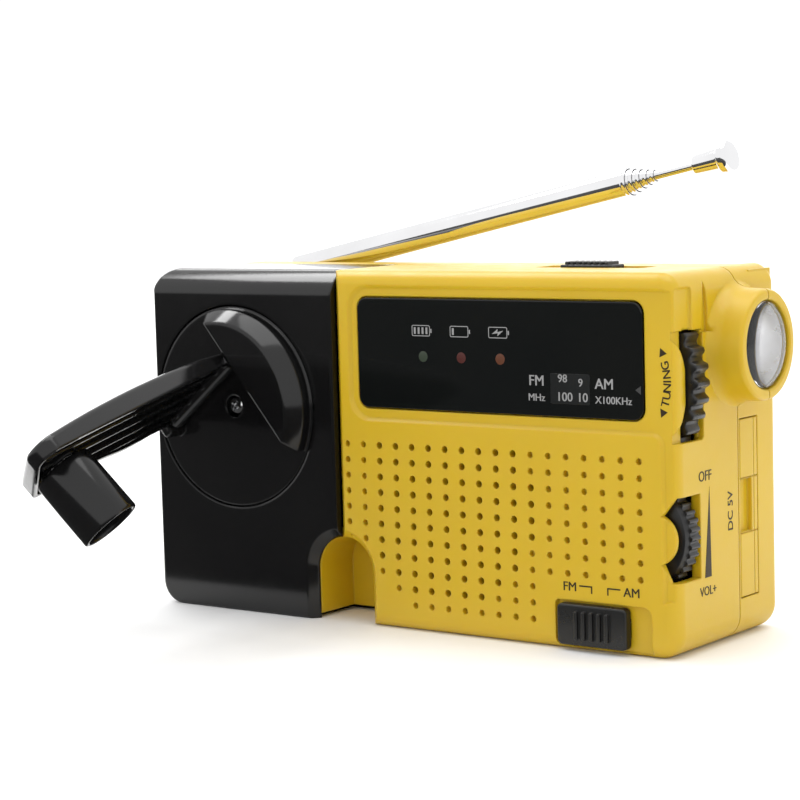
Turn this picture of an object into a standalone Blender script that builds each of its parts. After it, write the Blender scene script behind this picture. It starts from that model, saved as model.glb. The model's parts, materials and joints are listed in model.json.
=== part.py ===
"""Hand-cranked emergency radio: two-tone case, fold-out crank with its gear train and dynamo, telescopic
antenna, torch, tuning and volume wheels, sliding switches and a hinged port cover.

Case coordinates in the text below are millimetres: x from the left side, y from the front face, z from the
base. Every mesh is turned into metres about the centre of the base, with +Z up, as it is made."""

import math

import bmesh
import bpy
from mathutils import Matrix, Vector

MM = 0.001

# Driving dimensions, in millimetres.
WIDTH = 128.0
DEPTH = 40.0
HEIGHT = 72.0
SEAM_X = 48.4
PARTING_Y = 23.4
WALL = 2.0
FRONT_WALL = 2.4
GAP = 0.3

# Crank: the disc's centre, and the line along which the arm folds, as an angle below +X.
CRANK_X = 21.85
CRANK_Z = 43.4
STOW_ANGLE = math.radians(50.2)
UNFOLDED = math.radians(76.7)
DISC_RADIUS = 21.0
DISC_THICKNESS = 4.5
FOLD_PIVOT_U = -7.0
FOLD_PIVOT_Y = -2.45
KNOB_REACH = 52.4
KNOB_OFFSET = -2.7
KNOB_RADIUS = 6.2
KNOB_LENGTH = 14.7
ARM_RIM_Y = 0.8
KNUCKLE_RADIUS = 2.25

# Gear train, crank gear to dynamo.
GEAR_MODULE = 0.9
CRANK_TEETH = 32
IDLER_PINION_TEETH = 10
IDLER_WHEEL_TEETH = 26
ROTOR_TEETH = 8
IDLER_DIRECTION = math.radians(-75.0)
ROTOR_DIRECTION = math.radians(210.0)

# Thumb wheels: axis position and radius.
TUNING_X, TUNING_Z, TUNING_RADIUS = 112.0, 51.3, 18.3
VOLUME_X, VOLUME_Z, VOLUME_RADIUS = 118.0, 22.5, 10.8

# Each wheel shows beyond the arc of its cover, in a slot between two heights.
TUNING_COVER, TUNING_LOW, TUNING_HIGH = 16.8, 40.5, 61.2
VOLUME_COVER, VOLUME_LOW, VOLUME_HIGH = 8.3, 14.5, 30.5

# Torch and speaker axes.
TORCH_Y, TORCH_Z = 23.4, 57.3
SPEAKER_X, SPEAKER_Z, SPEAKER_RADIUS = 77.0, 22.9, 19.0

# Speaker grille: a grid of holes, of which those over the cone go right through.
GRILLE_X, GRILLE_Z = 51.7, 37.05
GRILLE_PITCH_X, GRILLE_PITCH_Z = 4.02, 3.18
GRILLE_HOLE_RADIUS = 0.75
GRILLE_COLUMNS = {2: (0, 7), 3: (0, 8), 4: (0, 9), 5: (0, 9), 6: (0, 9), 7: (0, 9), 8: (0, 9),
                  9: (0, 8), 10: (0, 7), 11: (2, 5)}

# Knob pocket at the foot of the case.
POCKET_LEFT, POCKET_RIGHT, POCKET_DEPTH = 42.0, 56.0, 13.0
CHAMFER = 1.9
POCKET_RADIUS = (POCKET_RIGHT - POCKET_LEFT) / 2
POCKET_X = (POCKET_LEFT + POCKET_RIGHT) / 2
POCKET_CENTRE_Z = 10.5

# Antenna: pivot, rest slope, and tube radii from the outermost section to the rod.
ANTENNA_PIVOT = (7.5, 35.5, 69.5)
ANTENNA_SLOPE = math.radians(11.6)
ANTENNA_LENGTH = 92.5
SECTION_RADII = (3.0, 2.6, 2.2, 1.8, 1.4, 1.0)
TUBE_WALL = 0.25
CRIMP_STEP = 1.45
ROD_START, ROD_SHOWING = 16.5, 9.9

PARTS = bpy.data.collections.new("emergency_radio")
CUTTERS = bpy.data.collections.new("cutters")


# Frames: each maps local millimetres to case millimetres.

def case_frame():
    return Matrix.Identity(4)


def along_x(x, y, z):
    """Local Z becomes +X."""
    return Matrix.Translation((x, y, z)) @ Matrix.Rotation(math.pi / 2, 4, "Y")


def along_y(x, y, z):
    """Local Z becomes +Y."""
    return Matrix.Translation((x, y, z)) @ Matrix.Rotation(-math.pi / 2, 4, "X")


def disc_frame():
    """Local X runs along the stowed arm, Y into the case and Z across the arm, about the disc's centre."""
    return Matrix.Translation((CRANK_X, 0, CRANK_Z)) @ Matrix.Rotation(STOW_ANGLE, 4, "Y")


def arm_frame():
    """Local X runs along the unfolded arm, Y along the knob and Z across the arm, about the fold pivot."""
    pivot = Matrix.Translation((FOLD_PIVOT_U, FOLD_PIVOT_Y, 0))
    return disc_frame() @ pivot @ Matrix.Rotation(-UNFOLDED, 4, "Z")


def antenna_frame():
    """Local Z runs out along the antenna from its pivot, and local Y is the tilt axis."""
    return Matrix.Translation(ANTENNA_PIVOT) @ Matrix.Rotation(math.pi / 2 - ANTENNA_SLOPE, 4, "Y")


def to_world():
    return Matrix.Scale(MM, 4) @ Matrix.Translation((-WIDTH / 2, -DEPTH / 2, 0))


# Meshes, all in local millimetres.

def mesh_from(bm, name):
    bmesh.ops.recalc_face_normals(bm, faces=bm.faces)
    mesh = bpy.data.meshes.new(name)
    bm.to_mesh(mesh)
    bm.free()
    return mesh


def box_mesh(low, high, bevel=0.0, segments=1):
    bm = bmesh.new()
    bmesh.ops.create_cube(bm, size=1)
    size = Vector(high) - Vector(low)
    middle = (Vector(high) + Vector(low)) / 2
    place = Matrix.Translation(middle) @ Matrix.Diagonal((*size, 1))
    bmesh.ops.transform(bm, matrix=place, verts=bm.verts)
    if bevel:
        bmesh.ops.bevel(bm, geom=bm.edges[:], offset=bevel, segments=segments, profile=0.5, affect="EDGES")
    return mesh_from(bm, "box")


def cylinder_mesh(radius, start, end, segments=24, end_radius=None):
    """A cylinder or cone about local Z, from start to end."""
    bm = bmesh.new()
    top = radius if end_radius is None else end_radius
    bmesh.ops.create_cone(bm, cap_ends=True, segments=segments, radius1=radius, radius2=top,
                          depth=end - start)
    bmesh.ops.translate(bm, vec=(0, 0, (start + end) / 2), verts=bm.verts)
    return mesh_from(bm, "cylinder")


def evaluated_mesh(obj):
    """The object's evaluated mesh with its seams welded. The object itself is removed."""
    bpy.context.scene.collection.objects.link(obj)
    bpy.context.view_layer.update()
    graph = bpy.context.evaluated_depsgraph_get()
    mesh = bpy.data.meshes.new_from_object(obj.evaluated_get(graph))
    bpy.data.objects.remove(obj)
    bm = bmesh.new()
    bm.from_mesh(mesh)
    bmesh.ops.remove_doubles(bm, verts=bm.verts, dist=0.001)
    bpy.data.meshes.remove(mesh)
    return mesh_from(bm, "solid")


def turned_mesh(profile, segments=24, closed=False):
    """A profile of (radius, height) points turned about local Z."""
    bm = bmesh.new()
    points = [bm.verts.new((radius, 0, height)) for radius, height in profile]
    pairs = list(zip(points, points[1:]))
    if closed:
        pairs.append((points[-1], points[0]))
    for pair in pairs:
        bm.edges.new(pair)
    mesh = bpy.data.meshes.new("profile")
    bm.to_mesh(mesh)
    bm.free()
    obj = bpy.data.objects.new("profile", mesh)
    screw = obj.modifiers.new("turn", "SCREW")
    screw.axis = "Z"
    screw.steps = segments
    screw.render_steps = segments
    screw.use_merge_vertices = True
    screw.merge_threshold = 0.0001
    return evaluated_mesh(obj)


def prism_mesh(outlines, low, high):
    """Flat outlines extruded along local Z; an outline inside another is a hole."""
    curve = bpy.data.curves.new("outline", "CURVE")
    curve.dimensions = "2D"
    curve.fill_mode = "BOTH"
    curve.extrude = (high - low) / 2
    for outline in outlines:
        spline = curve.splines.new("POLY")
        spline.points.add(len(outline) - 1)
        for point, (x, y) in zip(spline.points, outline):
            point.co = (x, y, 0, 1)
        spline.use_cyclic_u = True
    mesh = evaluated_mesh(bpy.data.objects.new("outline", curve))
    mesh.transform(Matrix.Translation((0, 0, (low + high) / 2)))
    return mesh


def front_prism(outlines, y_low, y_high):
    """Outlines given as (x, z), extruded from y_low to y_high."""
    mesh = prism_mesh(outlines, -y_high, -y_low)
    mesh.transform(Matrix.Rotation(math.pi / 2, 4, "X"))
    return mesh


def tapered_prism(outline, wide_outline, y_narrow, y_wide):
    """Joins two outlines with the same number of points, one at each Y."""
    bm = bmesh.new()
    rings = [[bm.verts.new((x, y, z)) for x, z in points]
             for points, y in ((outline, y_narrow), (wide_outline, y_wide))]
    for ring in rings:
        bm.faces.new(ring)
    count = len(outline)
    for i in range(count):
        j = (i + 1) % count
        bm.faces.new((rings[0][i], rings[0][j], rings[1][j], rings[1][i]))
    return mesh_from(bm, "tapered_prism")


def side_prism(outlines, x_low, x_high):
    """Outlines given as (y, z), extruded from x_low to x_high."""
    mesh = prism_mesh(outlines, x_low, x_high)
    mesh.transform(Matrix(((0, 0, 1, 0), (1, 0, 0, 0), (0, 1, 0, 0), (0, 0, 0, 1))))
    return mesh


def bevel_edges(mesh, width, segments, chosen):
    """Bevels the edges whose middles satisfy chosen(middle)."""
    bm = bmesh.new()
    bm.from_mesh(mesh)
    bmesh.ops.dissolve_limit(bm, angle_limit=math.radians(1), verts=bm.verts, edges=bm.edges)
    edges = [edge for edge in bm.edges if chosen((edge.verts[0].co + edge.verts[1].co) / 2)]
    bmesh.ops.bevel(bm, geom=edges, offset=width, segments=segments, profile=0.5, affect="EDGES")
    return mesh_from(bm, "bevelled")


# Outlines.

def arc(cx, cy, radius, start, end, steps):
    """Points on an arc, angles in degrees."""
    angles = [math.radians(start + (end - start) * i / steps) for i in range(steps + 1)]
    return [(cx + radius * math.cos(a), cy + radius * math.sin(a)) for a in angles]


def rounded_rectangle(x0, y0, x1, y1, radii, steps=4):
    """Corner radii run from the low-left corner anticlockwise; a zero radius gives a sharp corner."""
    corners = ((x0, y0, 1, 1, 180), (x1, y0, -1, 1, 270), (x1, y1, -1, -1, 0), (x0, y1, 1, -1, 90))
    points = []
    for (x, y, sx, sy, start), radius in zip(corners, radii):
        if radius:
            points += arc(x + sx * radius, y + sy * radius, radius, start, start + 90, steps)
        else:
            points.append((x, y))
    return points


def arch(x_left, x_right, z_low, z_spring, steps=8):
    """An arched doorway outline: straight sides up to z_spring and a round head."""
    radius = (x_right - x_left) / 2
    head = arc((x_left + x_right) / 2, z_spring, radius, 0, 180, steps)
    return [(x_left, z_low), (x_right, z_low)] + head


def gear_outline(teeth, phase):
    """Straight-flanked teeth, the first one centred on phase, slim enough to run with backlash."""
    pitch_radius = GEAR_MODULE * teeth / 2
    tip = pitch_radius + 0.85 * GEAR_MODULE
    root = pitch_radius - 1.2 * GEAR_MODULE
    step = 2 * math.pi / teeth
    corners = ((root, -0.30), (tip, -0.10), (tip, 0.10), (root, 0.30))
    points = []
    for tooth in range(teeth):
        for radius, offset in corners:
            angle = phase + step * (tooth + offset)
            points.append((radius * math.cos(angle), radius * math.sin(angle)))
    return points


def serrated_outline(radius, depth, ribs):
    """A circle with evenly spaced grip ribs."""
    root = radius - depth
    points = []
    for i in range(ribs):
        for reach, offset in ((root, 0.08), (radius, 0.25), (radius, 0.75), (root, 0.92)):
            angle = 2 * math.pi * (i + offset) / ribs
            points.append((reach * math.cos(angle), reach * math.sin(angle)))
    return points


# Materials.

MATERIALS = {}


def material(name, colour, roughness, metallic=0.0, alpha=1.0):
    if name not in MATERIALS:
        made = bpy.data.materials.new(name)
        made.use_nodes = True
        shader = made.node_tree.nodes["Principled BSDF"]
        shader.inputs["Base Color"].default_value = (*colour, 1)
        shader.inputs["Roughness"].default_value = roughness
        shader.inputs["Metallic"].default_value = metallic
        shader.inputs["Alpha"].default_value = alpha
        MATERIALS[name] = made
    return MATERIALS[name]


def yellow_plastic():
    return material("yellow_plastic", (0.72, 0.45, 0.02), 0.38)


def black_gloss():
    return material("black_gloss", (0.012, 0.012, 0.013), 0.12)


def black_plastic():
    return material("black_plastic", (0.014, 0.014, 0.015), 0.4)


def smoked_window():
    return material("smoked_window", (0.006, 0.007, 0.007), 0.08)


def chrome():
    return material("chrome", (0.78, 0.78, 0.77), 0.1, 1.0)


def steel():
    return material("steel", (0.55, 0.55, 0.54), 0.3, 1.0)


def clear_plastic():
    return material("clear_plastic", (0.9, 0.92, 0.93), 0.05, 0.0, 0.35)


def white_nylon():
    return material("white_nylon", (0.75, 0.74, 0.7), 0.45)


def circuit_board():
    return material("circuit_board", (0.02, 0.16, 0.06), 0.4)


# Objects.

def set_origin(obj, point):
    """Moves the object's origin to a point given in case millimetres, leaving its shape in place."""
    world = to_world() @ Vector(point)
    obj.data.transform(Matrix.Translation(-world))
    obj.location = world
    return obj


def piece(name, mesh, finish, frame=None, origin=None):
    """A named sub-part, optionally with its origin on its joint's axis."""
    mesh.transform(to_world() @ (frame or case_frame()))
    mesh.name = name
    mesh.materials.clear()
    mesh.materials.append(finish)
    mesh.shade_smooth()
    mesh.set_sharp_from_angle(angle=math.radians(35))
    obj = bpy.data.objects.new(name, mesh)
    PARTS.objects.link(obj)
    return set_origin(obj, origin) if origin else obj


def combine(obj, mesh, operation, frame=None):
    """Cuts a mesh from the object, or joins it on, with a hidden tool object."""
    mesh.transform(to_world() @ (frame or case_frame()))
    tool = bpy.data.objects.new(obj.name + "_tool", mesh)
    tool.hide_render = True
    tool.display_type = "WIRE"
    CUTTERS.objects.link(tool)
    boolean = obj.modifiers.new(operation.lower(), "BOOLEAN")
    boolean.operation = operation
    boolean.object = tool
    boolean.solver = "EXACT"
    return obj


def cut(obj, mesh, frame=None):
    return combine(obj, mesh, "DIFFERENCE", frame)


def join(obj, mesh, frame=None):
    return combine(obj, mesh, "UNION", frame)


# Case.

FRONT_ROUND = 2.6
REAR_ROUND = 3.0
HOUSING_ROUND = 1.4
POST_RADIUS = 2.8
BOSS_RADIUS = 3.6
FRONT_SCREWS = {"middle": (54.5, 40.0), "lower_right": (121.0, 7.5)}
HOUSING_SCREWS = {"upper_left": (6.2, 60.2), "lower_left": (6.2, 6.2)}
NACELLE_RADIUS = 10.6
NACELLE_END = 134.9
LENS_RADIUS = 8.2
PORT_LOW, PORT_HIGH = 8.0, 43.0
PORT_FRONT, PORT_REAR = 23.9, 31.2
SOCKET_Y, SOCKET_Z = 27.5, 26.0
GROOVE_FRONT, GROOVE_FLOOR, GROOVE_END = 31.9, 65.8, 124.2


def grille_holes():
    """One mesh holding a four-sided prism for each hole that goes through."""
    bm = bmesh.new()
    for column, (first, last) in GRILLE_COLUMNS.items():
        for row in range(first, last + 1):
            x = GRILLE_X + GRILLE_PITCH_X * column
            z = GRILLE_Z - GRILLE_PITCH_Z * row
            bmesh.ops.create_cone(bm, cap_ends=True, segments=4, radius1=GRILLE_HOLE_RADIUS,
                                  radius2=GRILLE_HOLE_RADIUS, depth=FRONT_WALL + 2,
                                  matrix=along_y(x, FRONT_WALL / 2, z))
    return mesh_from(bm, "grille_holes")


def wheel_window(cx, cz, cover_radius, half_angle, z_low, z_high, y_end):
    """The opening in front of a thumb wheel: what lies outside the arc of its cover, round the corner."""
    cover = arc(cx, cz, cover_radius, half_angle, -half_angle, 8)
    return front_prism([cover + [(WIDTH + 4, z_low), (WIDTH + 4, z_high)]], -1, y_end)


def nacelle(front_half):
    """Half of the torch's round housing, on one side of the parting line."""
    side = -1 if front_half else 1
    middle = TORCH_Y + side * GAP / 2
    half = [(middle + side * abs(y), z) for y, z in arc(0, TORCH_Z, NACELLE_RADIUS, -90, 90, 14)]
    return side_prism([half], WIDTH - 6, NACELLE_END)


def torch_bore():
    return cylinder_mesh(LENS_RADIUS + GAP, 118, NACELLE_END + 1, 24)


def cut_pocket_mouth(shell):
    """The chamfer round the mouth of the knob's pocket, which the turning knob also needs."""
    inset, reach = 0.2, CHAMFER + 1
    inner = arch(POCKET_LEFT + inset, POCKET_RIGHT - inset, -6, POCKET_CENTRE_Z)
    outer = arch(POCKET_LEFT - reach, POCKET_RIGHT + reach, -6, POCKET_CENTRE_Z)
    cut(shell, tapered_prism(inner, outer, CHAMFER + inset, -1))


def add_screw_post(shell, x, z, start):
    """A post for a case screw, blind from the front, with its pilot hole open at the parting line."""
    join(shell, cylinder_mesh(POST_RADIUS, start, PARTING_Y - GAP, 12), along_y(x, 0, z))
    cut(shell, cylinder_mesh(1.5, PARTING_Y - 9, PARTING_Y + 1, 8), along_y(x, 0, z))


def front_shell():
    outline = rounded_rectangle(SEAM_X + GAP / 2, 0, WIDTH, HEIGHT, (0, 5, 4, 0))
    outer = bevel_edges(front_prism([outline], 0, PARTING_Y - GAP / 2), FRONT_ROUND, 2,
                        lambda middle: middle.y < 0.01 and middle.x > SEAM_X + 1)
    shell = piece("front_shell", outer, yellow_plastic())
    join(shell, nacelle(True))
    cut(shell, box_mesh((SEAM_X + 2.2, FRONT_WALL, WALL), (WIDTH - WALL, 30, HEIGHT - WALL)))
    outer_arch = arch(POCKET_LEFT - 1.8, POCKET_RIGHT + 1.8, 0, POCKET_CENTRE_Z)
    join(shell, front_prism([outer_arch], WALL + GAP, POCKET_DEPTH + WALL))
    cut(shell, front_prism([arch(POCKET_LEFT, POCKET_RIGHT, -1, POCKET_CENTRE_Z)], -1, POCKET_DEPTH))
    seam = SEAM_X + GAP / 2
    seam_chamfer = [(seam - 1, -1), (seam + CHAMFER + 1, -1), (seam - 1, CHAMFER + 1)]
    cut(shell, prism_mesh([seam_chamfer], -1, HEIGHT + 1))
    cut_pocket_mouth(shell)
    cut_window(shell)
    cut(shell, grille_holes())
    cut_wheel_slots(shell)
    cut_switch_slots(shell)
    cut(shell, torch_bore(), along_x(0, TORCH_Y, TORCH_Z))
    for x, z in FRONT_SCREWS.values():
        add_screw_post(shell, x, z, WALL)
    return shell


def cut_window(shell):
    """The window's ledge and the opening behind it."""
    ledge = rounded_rectangle(54.5, 44.35, 121.3, 66.95, (2.5, 2.5, 2.5, 2.5), 3)
    cut(shell, front_prism([ledge], -1, 1.9))
    cut(shell, box_mesh((57.0, -1, 46.6), (118.5, FRONT_WALL + 1, 64.6)))


def cut_wheel_slots(shell):
    """A window in the front and a slot in the side for each wheel, and room inside for the larger one."""
    cut(shell, wheel_window(TUNING_X, TUNING_Z, TUNING_COVER, 35, TUNING_LOW, TUNING_HIGH, 3.5))
    cut(shell, box_mesh((115, 3.4, TUNING_LOW), (WIDTH + 4, 10.4, TUNING_HIGH)))
    cut(shell, cylinder_mesh(TUNING_RADIUS + 0.5, 3.8, 10.2, 36), along_y(TUNING_X, 0, TUNING_Z))
    cut(shell, wheel_window(VOLUME_X, VOLUME_Z, VOLUME_COVER, 38, VOLUME_LOW, VOLUME_HIGH, 1.7))
    cut(shell, box_mesh((124, 1.6, VOLUME_LOW), (WIDTH + 4, 8.7, VOLUME_HIGH)))


def cut_switch_slots(shell):
    """The band switch's recess on the front and the torch switch's on top."""
    band = rounded_rectangle(101, 0.75, 122.3, 9.5, (0.6, 0.6, 0.6, 0.6), 2)
    cut(shell, front_prism([band], -1, 1.2))
    cut(shell, box_mesh((104.5, 0, 2.9), (118.5, FRONT_WALL + 1, 7.3)))
    torch = rounded_rectangle(87.2, 16.0, 111.8, 22.6, (1, 1, 1, 1), 2)
    cut(shell, prism_mesh([torch], HEIGHT - 0.7, HEIGHT + 1))
    cut(shell, box_mesh((92.4, 17.6, HEIGHT - WALL - 1), (107.4, 21.4, HEIGHT + 1)))


def crank_housing():
    outline = rounded_rectangle(0, 0, SEAM_X - GAP / 2, HEIGHT, (5, 0, 0, 5))
    outer = bevel_edges(front_prism([outline], 0, PARTING_Y - GAP / 2), HOUSING_ROUND, 2,
                        lambda middle: middle.y < 0.01 and middle.x < SEAM_X - 1)
    housing = piece("crank_housing", outer, black_gloss())
    cut(housing, box_mesh((WALL, WALL, WALL), (SEAM_X + 10, 30, HEIGHT - WALL)))
    recess = DISC_RADIUS + GAP
    centre = along_y(CRANK_X, 0, CRANK_Z)
    pan = [(3, 1), (recess + 0.5, 1), (recess + 0.5, 7), (3, 7)]
    join(housing, turned_mesh(pan, 36, True), centre)
    cut(housing, cylinder_mesh(recess, -1, 5, 36), centre)
    cut(housing, front_prism([arch(POCKET_LEFT, POCKET_RIGHT, -1, POCKET_CENTRE_Z)], -1, WALL + 0.5))
    cut_pocket_mouth(housing)
    cut(housing, box_mesh((POCKET_LEFT - 2.1, WALL, -1), (SEAM_X + 1, POCKET_DEPTH + WALL + GAP, 19.8)))
    for x, z in HOUSING_SCREWS.values():
        join(housing, box_mesh((WALL - 1, 9, z - 0.8), (x, PARTING_Y - GAP, z + 0.8)))
        add_screw_post(housing, x, z, 9)
    return housing


def rear_shell():
    outline = rounded_rectangle(0, 0, WIDTH, HEIGHT, (5, 5, 4, 5))
    outer = bevel_edges(front_prism([outline], PARTING_Y + GAP / 2, DEPTH), REAR_ROUND, 2,
                        lambda middle: middle.y > DEPTH - 0.01 and middle.z < HEIGHT - 0.01)
    shell = piece("rear_shell", outer, yellow_plastic())
    join(shell, nacelle(False))
    cut(shell, box_mesh((WALL, 10, WALL), (WIDTH - WALL, DEPTH - WALL, HEIGHT - WALL)))
    join(shell, box_mesh((1, 30.2, GROOVE_FLOOR - 1.6), (WIDTH - 1, DEPTH - 1, HEIGHT - 1)))
    groove = rounded_rectangle(GROOVE_FRONT, GROOVE_FLOOR, DEPTH + 2, HEIGHT + 2, (1, 0, 0, 0), 2)
    cut(shell, side_prism([groove], 2.5, GROOVE_END))
    frame_low = (WIDTH - 4.2, PORT_FRONT - 0.2, PORT_LOW - 1.5)
    join(shell, box_mesh(frame_low, (WIDTH - 1, 33, PORT_HIGH + 1.5)))
    cut(shell, box_mesh((WIDTH - 2.2, PORT_FRONT, PORT_LOW), (WIDTH + 1, PORT_REAR, PORT_HIGH)))
    cut(shell, cylinder_mesh(0.9, PORT_LOW - 1.0, PORT_HIGH + 1.0, 10), port_hinge())
    cut(shell, cylinder_mesh(3.3, WIDTH - 6, WIDTH + 1, 12), along_x(0, SOCKET_Y, SOCKET_Z))
    cut(shell, torch_bore(), along_x(0, TORCH_Y, TORCH_Z))
    for x, z in (FRONT_SCREWS | HOUSING_SCREWS).values():
        place = along_y(x, 0, z)
        join(shell, cylinder_mesh(BOSS_RADIUS, PARTING_Y + GAP, DEPTH - 1, 12), place)
        cut(shell, cylinder_mesh(1.6, PARTING_Y - 1, DEPTH + 1, 10), place)
        cut(shell, cylinder_mesh(2.9, 31, DEPTH + 1, 12), place)
    return shell


def case_screws():
    """Four pan-head screws driven in from the back."""
    shank = [(0, 15.8), (1.2, 16.6), (1.2, 31.3), (2.5, 31.3), (2.5, 32.6), (1.8, 33.4), (0, 33.4)]
    for name, (x, z) in (FRONT_SCREWS | HOUSING_SCREWS).items():
        screw = piece("case_screw_" + name, turned_mesh(shank, 10), steel(), along_y(x, 0, z))
        cut(screw, box_mesh((-1.2, -0.3, 32.7), (1.2, 0.3, 34)), along_y(x, 0, z))
        cut(screw, box_mesh((-0.3, -1.2, 32.7), (0.3, 1.2, 34)), along_y(x, 0, z))


def display_window():
    outline = rounded_rectangle(54.8, 44.65, 121.0, 66.65, (2.2, 2.2, 2.2, 2.2), 3)
    mesh = front_prism([outline], 0.35, 1.6)
    return piece("display_window", mesh, smoked_window())


def port_hinge():
    """Local Z runs up the cover's hinge line."""
    return Matrix.Translation((WIDTH - 1.0, PORT_REAR - GAP - 0.8, 0))


def port_cover():
    """A flap over the power socket, with a finger scoop half way up and stub pins along its rear edge."""
    low, high = (WIDTH - 1.9, PORT_FRONT + GAP, PORT_LOW + GAP), (WIDTH, PORT_REAR - GAP, PORT_HIGH - GAP)
    hinge = (port_hinge() @ Vector((0, 0, SOCKET_Z)))[:]
    flap = bevel_edges(box_mesh(low, high), 0.45, 1, lambda middle: middle.y > high[1] - 0.01)
    cover = piece("port_cover", flap, yellow_plastic(), None, hinge)
    cut(cover, box_mesh((WIDTH - 1.0, PORT_FRONT - 1, 20.9), (WIDTH + 1, 28.6, 31.1)))
    join(cover, cylinder_mesh(0.6, PORT_LOW - 0.7, PORT_HIGH + 0.7, 10), port_hinge())
    return cover


# Crank.

def crank_disc():
    """A disc flush with the case, carrying a raised segment that stands beside the folded arm."""
    pivot = disc_frame() @ Matrix.Rotation(-math.pi / 2, 4, "X")
    disc = piece("crank_disc", cylinder_mesh(DISC_RADIUS, 0.0, DISC_THICKNESS, 36), black_gloss(), pivot,
                 (CRANK_X, 2, CRANK_Z))
    segment = turned_mesh([(0, -5.5), (18.0, -5.5), (20.4, -2.4), (20.6, 1), (0, 1)], 36)
    join(disc, clipped_segment(segment), pivot)
    join(disc, box_mesh((-9.7, -5.0, -16.4), (-4.3, 1, -13.9), 0.6), disc_frame())
    cut(disc, cylinder_mesh(1.3, -20, 12.6, 10), hinge_line())
    cut(disc, cylinder_mesh(3.0, -1, 2.2, 16), pivot)
    cut(disc, cylinder_mesh(1.5, 1, DISC_THICKNESS + 1, 12), pivot)
    return disc


CHORD = 9.0


def clipped_segment(mesh):
    """The part of a turned solid that lies beyond the chord on the arm's side of the disc."""
    bm = bmesh.new()
    bm.from_mesh(mesh)
    geometry = bm.verts[:] + bm.edges[:] + bm.faces[:]
    cuts = bmesh.ops.bisect_plane(bm, geom=geometry, plane_co=(0, -CHORD, 0), plane_no=(0, 1, 0),
                                  clear_outer=True)
    edges = [item for item in cuts["geom_cut"] if isinstance(item, bmesh.types.BMEdge)]
    bmesh.ops.holes_fill(bm, edges=edges)
    return mesh_from(bm, "segment")


def hinge_line():
    """Local Z runs across the arm, along its hinge pin."""
    return disc_frame() @ Matrix.Translation((FOLD_PIVOT_U, FOLD_PIVOT_Y, 0))


def fold_pivot():
    return (disc_frame() @ Vector((FOLD_PIVOT_U, FOLD_PIVOT_Y, 0)))[:]


def arm_outline():
    """The arm seen from its knob side. Its slanted end lies along the case's base when it is folded."""
    upper = [(0, 7.3), (4, 7.7), (14, 8.3), (26, 8.6), (48, 8.8)]
    upper_end = arc(61.6, 4.6, 4.0, 85, -39.8, 4)
    lower_end = arc(49.4, -9.5, 4.5, -39.8, -95, 4)
    wave = [(43, -12.7), (38, -11.7), (33, -11.5), (28, -12.2), (22, -13.3), (17, -13.5), (11, -12.7),
            (0, -13.6)]
    return upper + upper_end + lower_end + wave


def inset(outline, distance):
    """A clockwise outline drawn in by a distance."""
    points = []
    for before, point, after in zip(outline[-1:] + outline[:-1], outline, outline[1:] + outline[:1]):
        along = (Vector(after) - Vector(before)).normalized()
        points.append((point[0] + distance * along.y, point[1] - distance * along.x))
    return points


def arm_crown():
    """What lies above the arm's bowed outer face, in local X and height."""
    bow = [(-9, 1.5), (0, 2.2), (5, 2.65), (10, 3.0), (20, 3.4), (32, 3.6), (44, 3.45), (54, 3.1),
           (63, 2.6), (72, 1.9)]
    return bow + [(72, 9), (-9, 9)]


def crank_arm():
    """A bowed plate with a hinge knuckle, hollow on the knob's side but for ribs and the knob's boss."""
    frame = arm_frame()
    flat = frame @ Matrix.Rotation(math.pi / 2, 4, "X")
    plate = prism_mesh([arm_outline()], -ARM_RIM_Y, 6)
    arm = piece("crank_arm", plate, black_gloss(), flat, fold_pivot())
    cut(arm, prism_mesh([arm_crown()], -20, 20), frame @ Matrix.Rotation(math.pi, 4, "X"))
    floor = ARM_RIM_Y - 1.6
    cut(arm, prism_mesh([inset(arm_outline(), 1.3)], -ARM_RIM_Y - 1, -floor), flat)
    for height in (4.0, -1.0, -6.0, -10.8):
        end = 60.0 + 0.83 * height
        join(arm, box_mesh((0.5, floor - 0.3, height - 0.55), (end, 0.5, height + 0.55)), frame)
    join(arm, cylinder_mesh(KNUCKLE_RADIUS, -13.6, 7.3, 16), frame)
    join(arm, cylinder_mesh(4.4, floor - 0.5, ARM_RIM_Y, 16), knob_line())
    cut(arm, cylinder_mesh(1.3, -20, 20, 12), frame)
    cut(arm, cylinder_mesh(1.5, -6, 6, 12), knob_line())
    cut(arm, cylinder_mesh(3.0, -5, -1.5, 12), knob_line())
    return arm


def knob_line():
    """Local Z runs along the knob, away from the arm."""
    place = Matrix.Translation((KNOB_REACH, 0, KNOB_OFFSET))
    return arm_frame() @ place @ Matrix.Rotation(-math.pi / 2, 4, "X")


def crank_hinge_pin():
    return piece("crank_hinge_pin", cylinder_mesh(1.0, -16.2, 12.0, 12), steel(), hinge_line())


def crank_knob():
    """A hollow turning grip, open at its free end, with a web that its pin holds."""
    start = 1.3
    end = start + KNOB_LENGTH
    profile = [(1.5, start), (KNOB_RADIUS, start), (KNOB_RADIUS, end), (KNOB_RADIUS - 1.1, end),
               (KNOB_RADIUS - 1.1, start + 5.5), (1.5, start + 5.5)]
    origin = (knob_line() @ Vector((0, 0, 0)))[:]
    return piece("crank_knob", turned_mesh(profile, 20, True), black_gloss(), knob_line(), origin)


def knob_pin():
    """A shouldered pin through the arm, with a head at each end."""
    profile = [(0, -2.35), (2.6, -2.35), (2.6, -1.75), (1.2, -1.75), (1.2, 7.2), (2.6, 7.2), (2.6, 8.2),
               (0, 8.2)]
    return piece("knob_pin", turned_mesh(profile, 12), steel(), knob_line())


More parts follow.
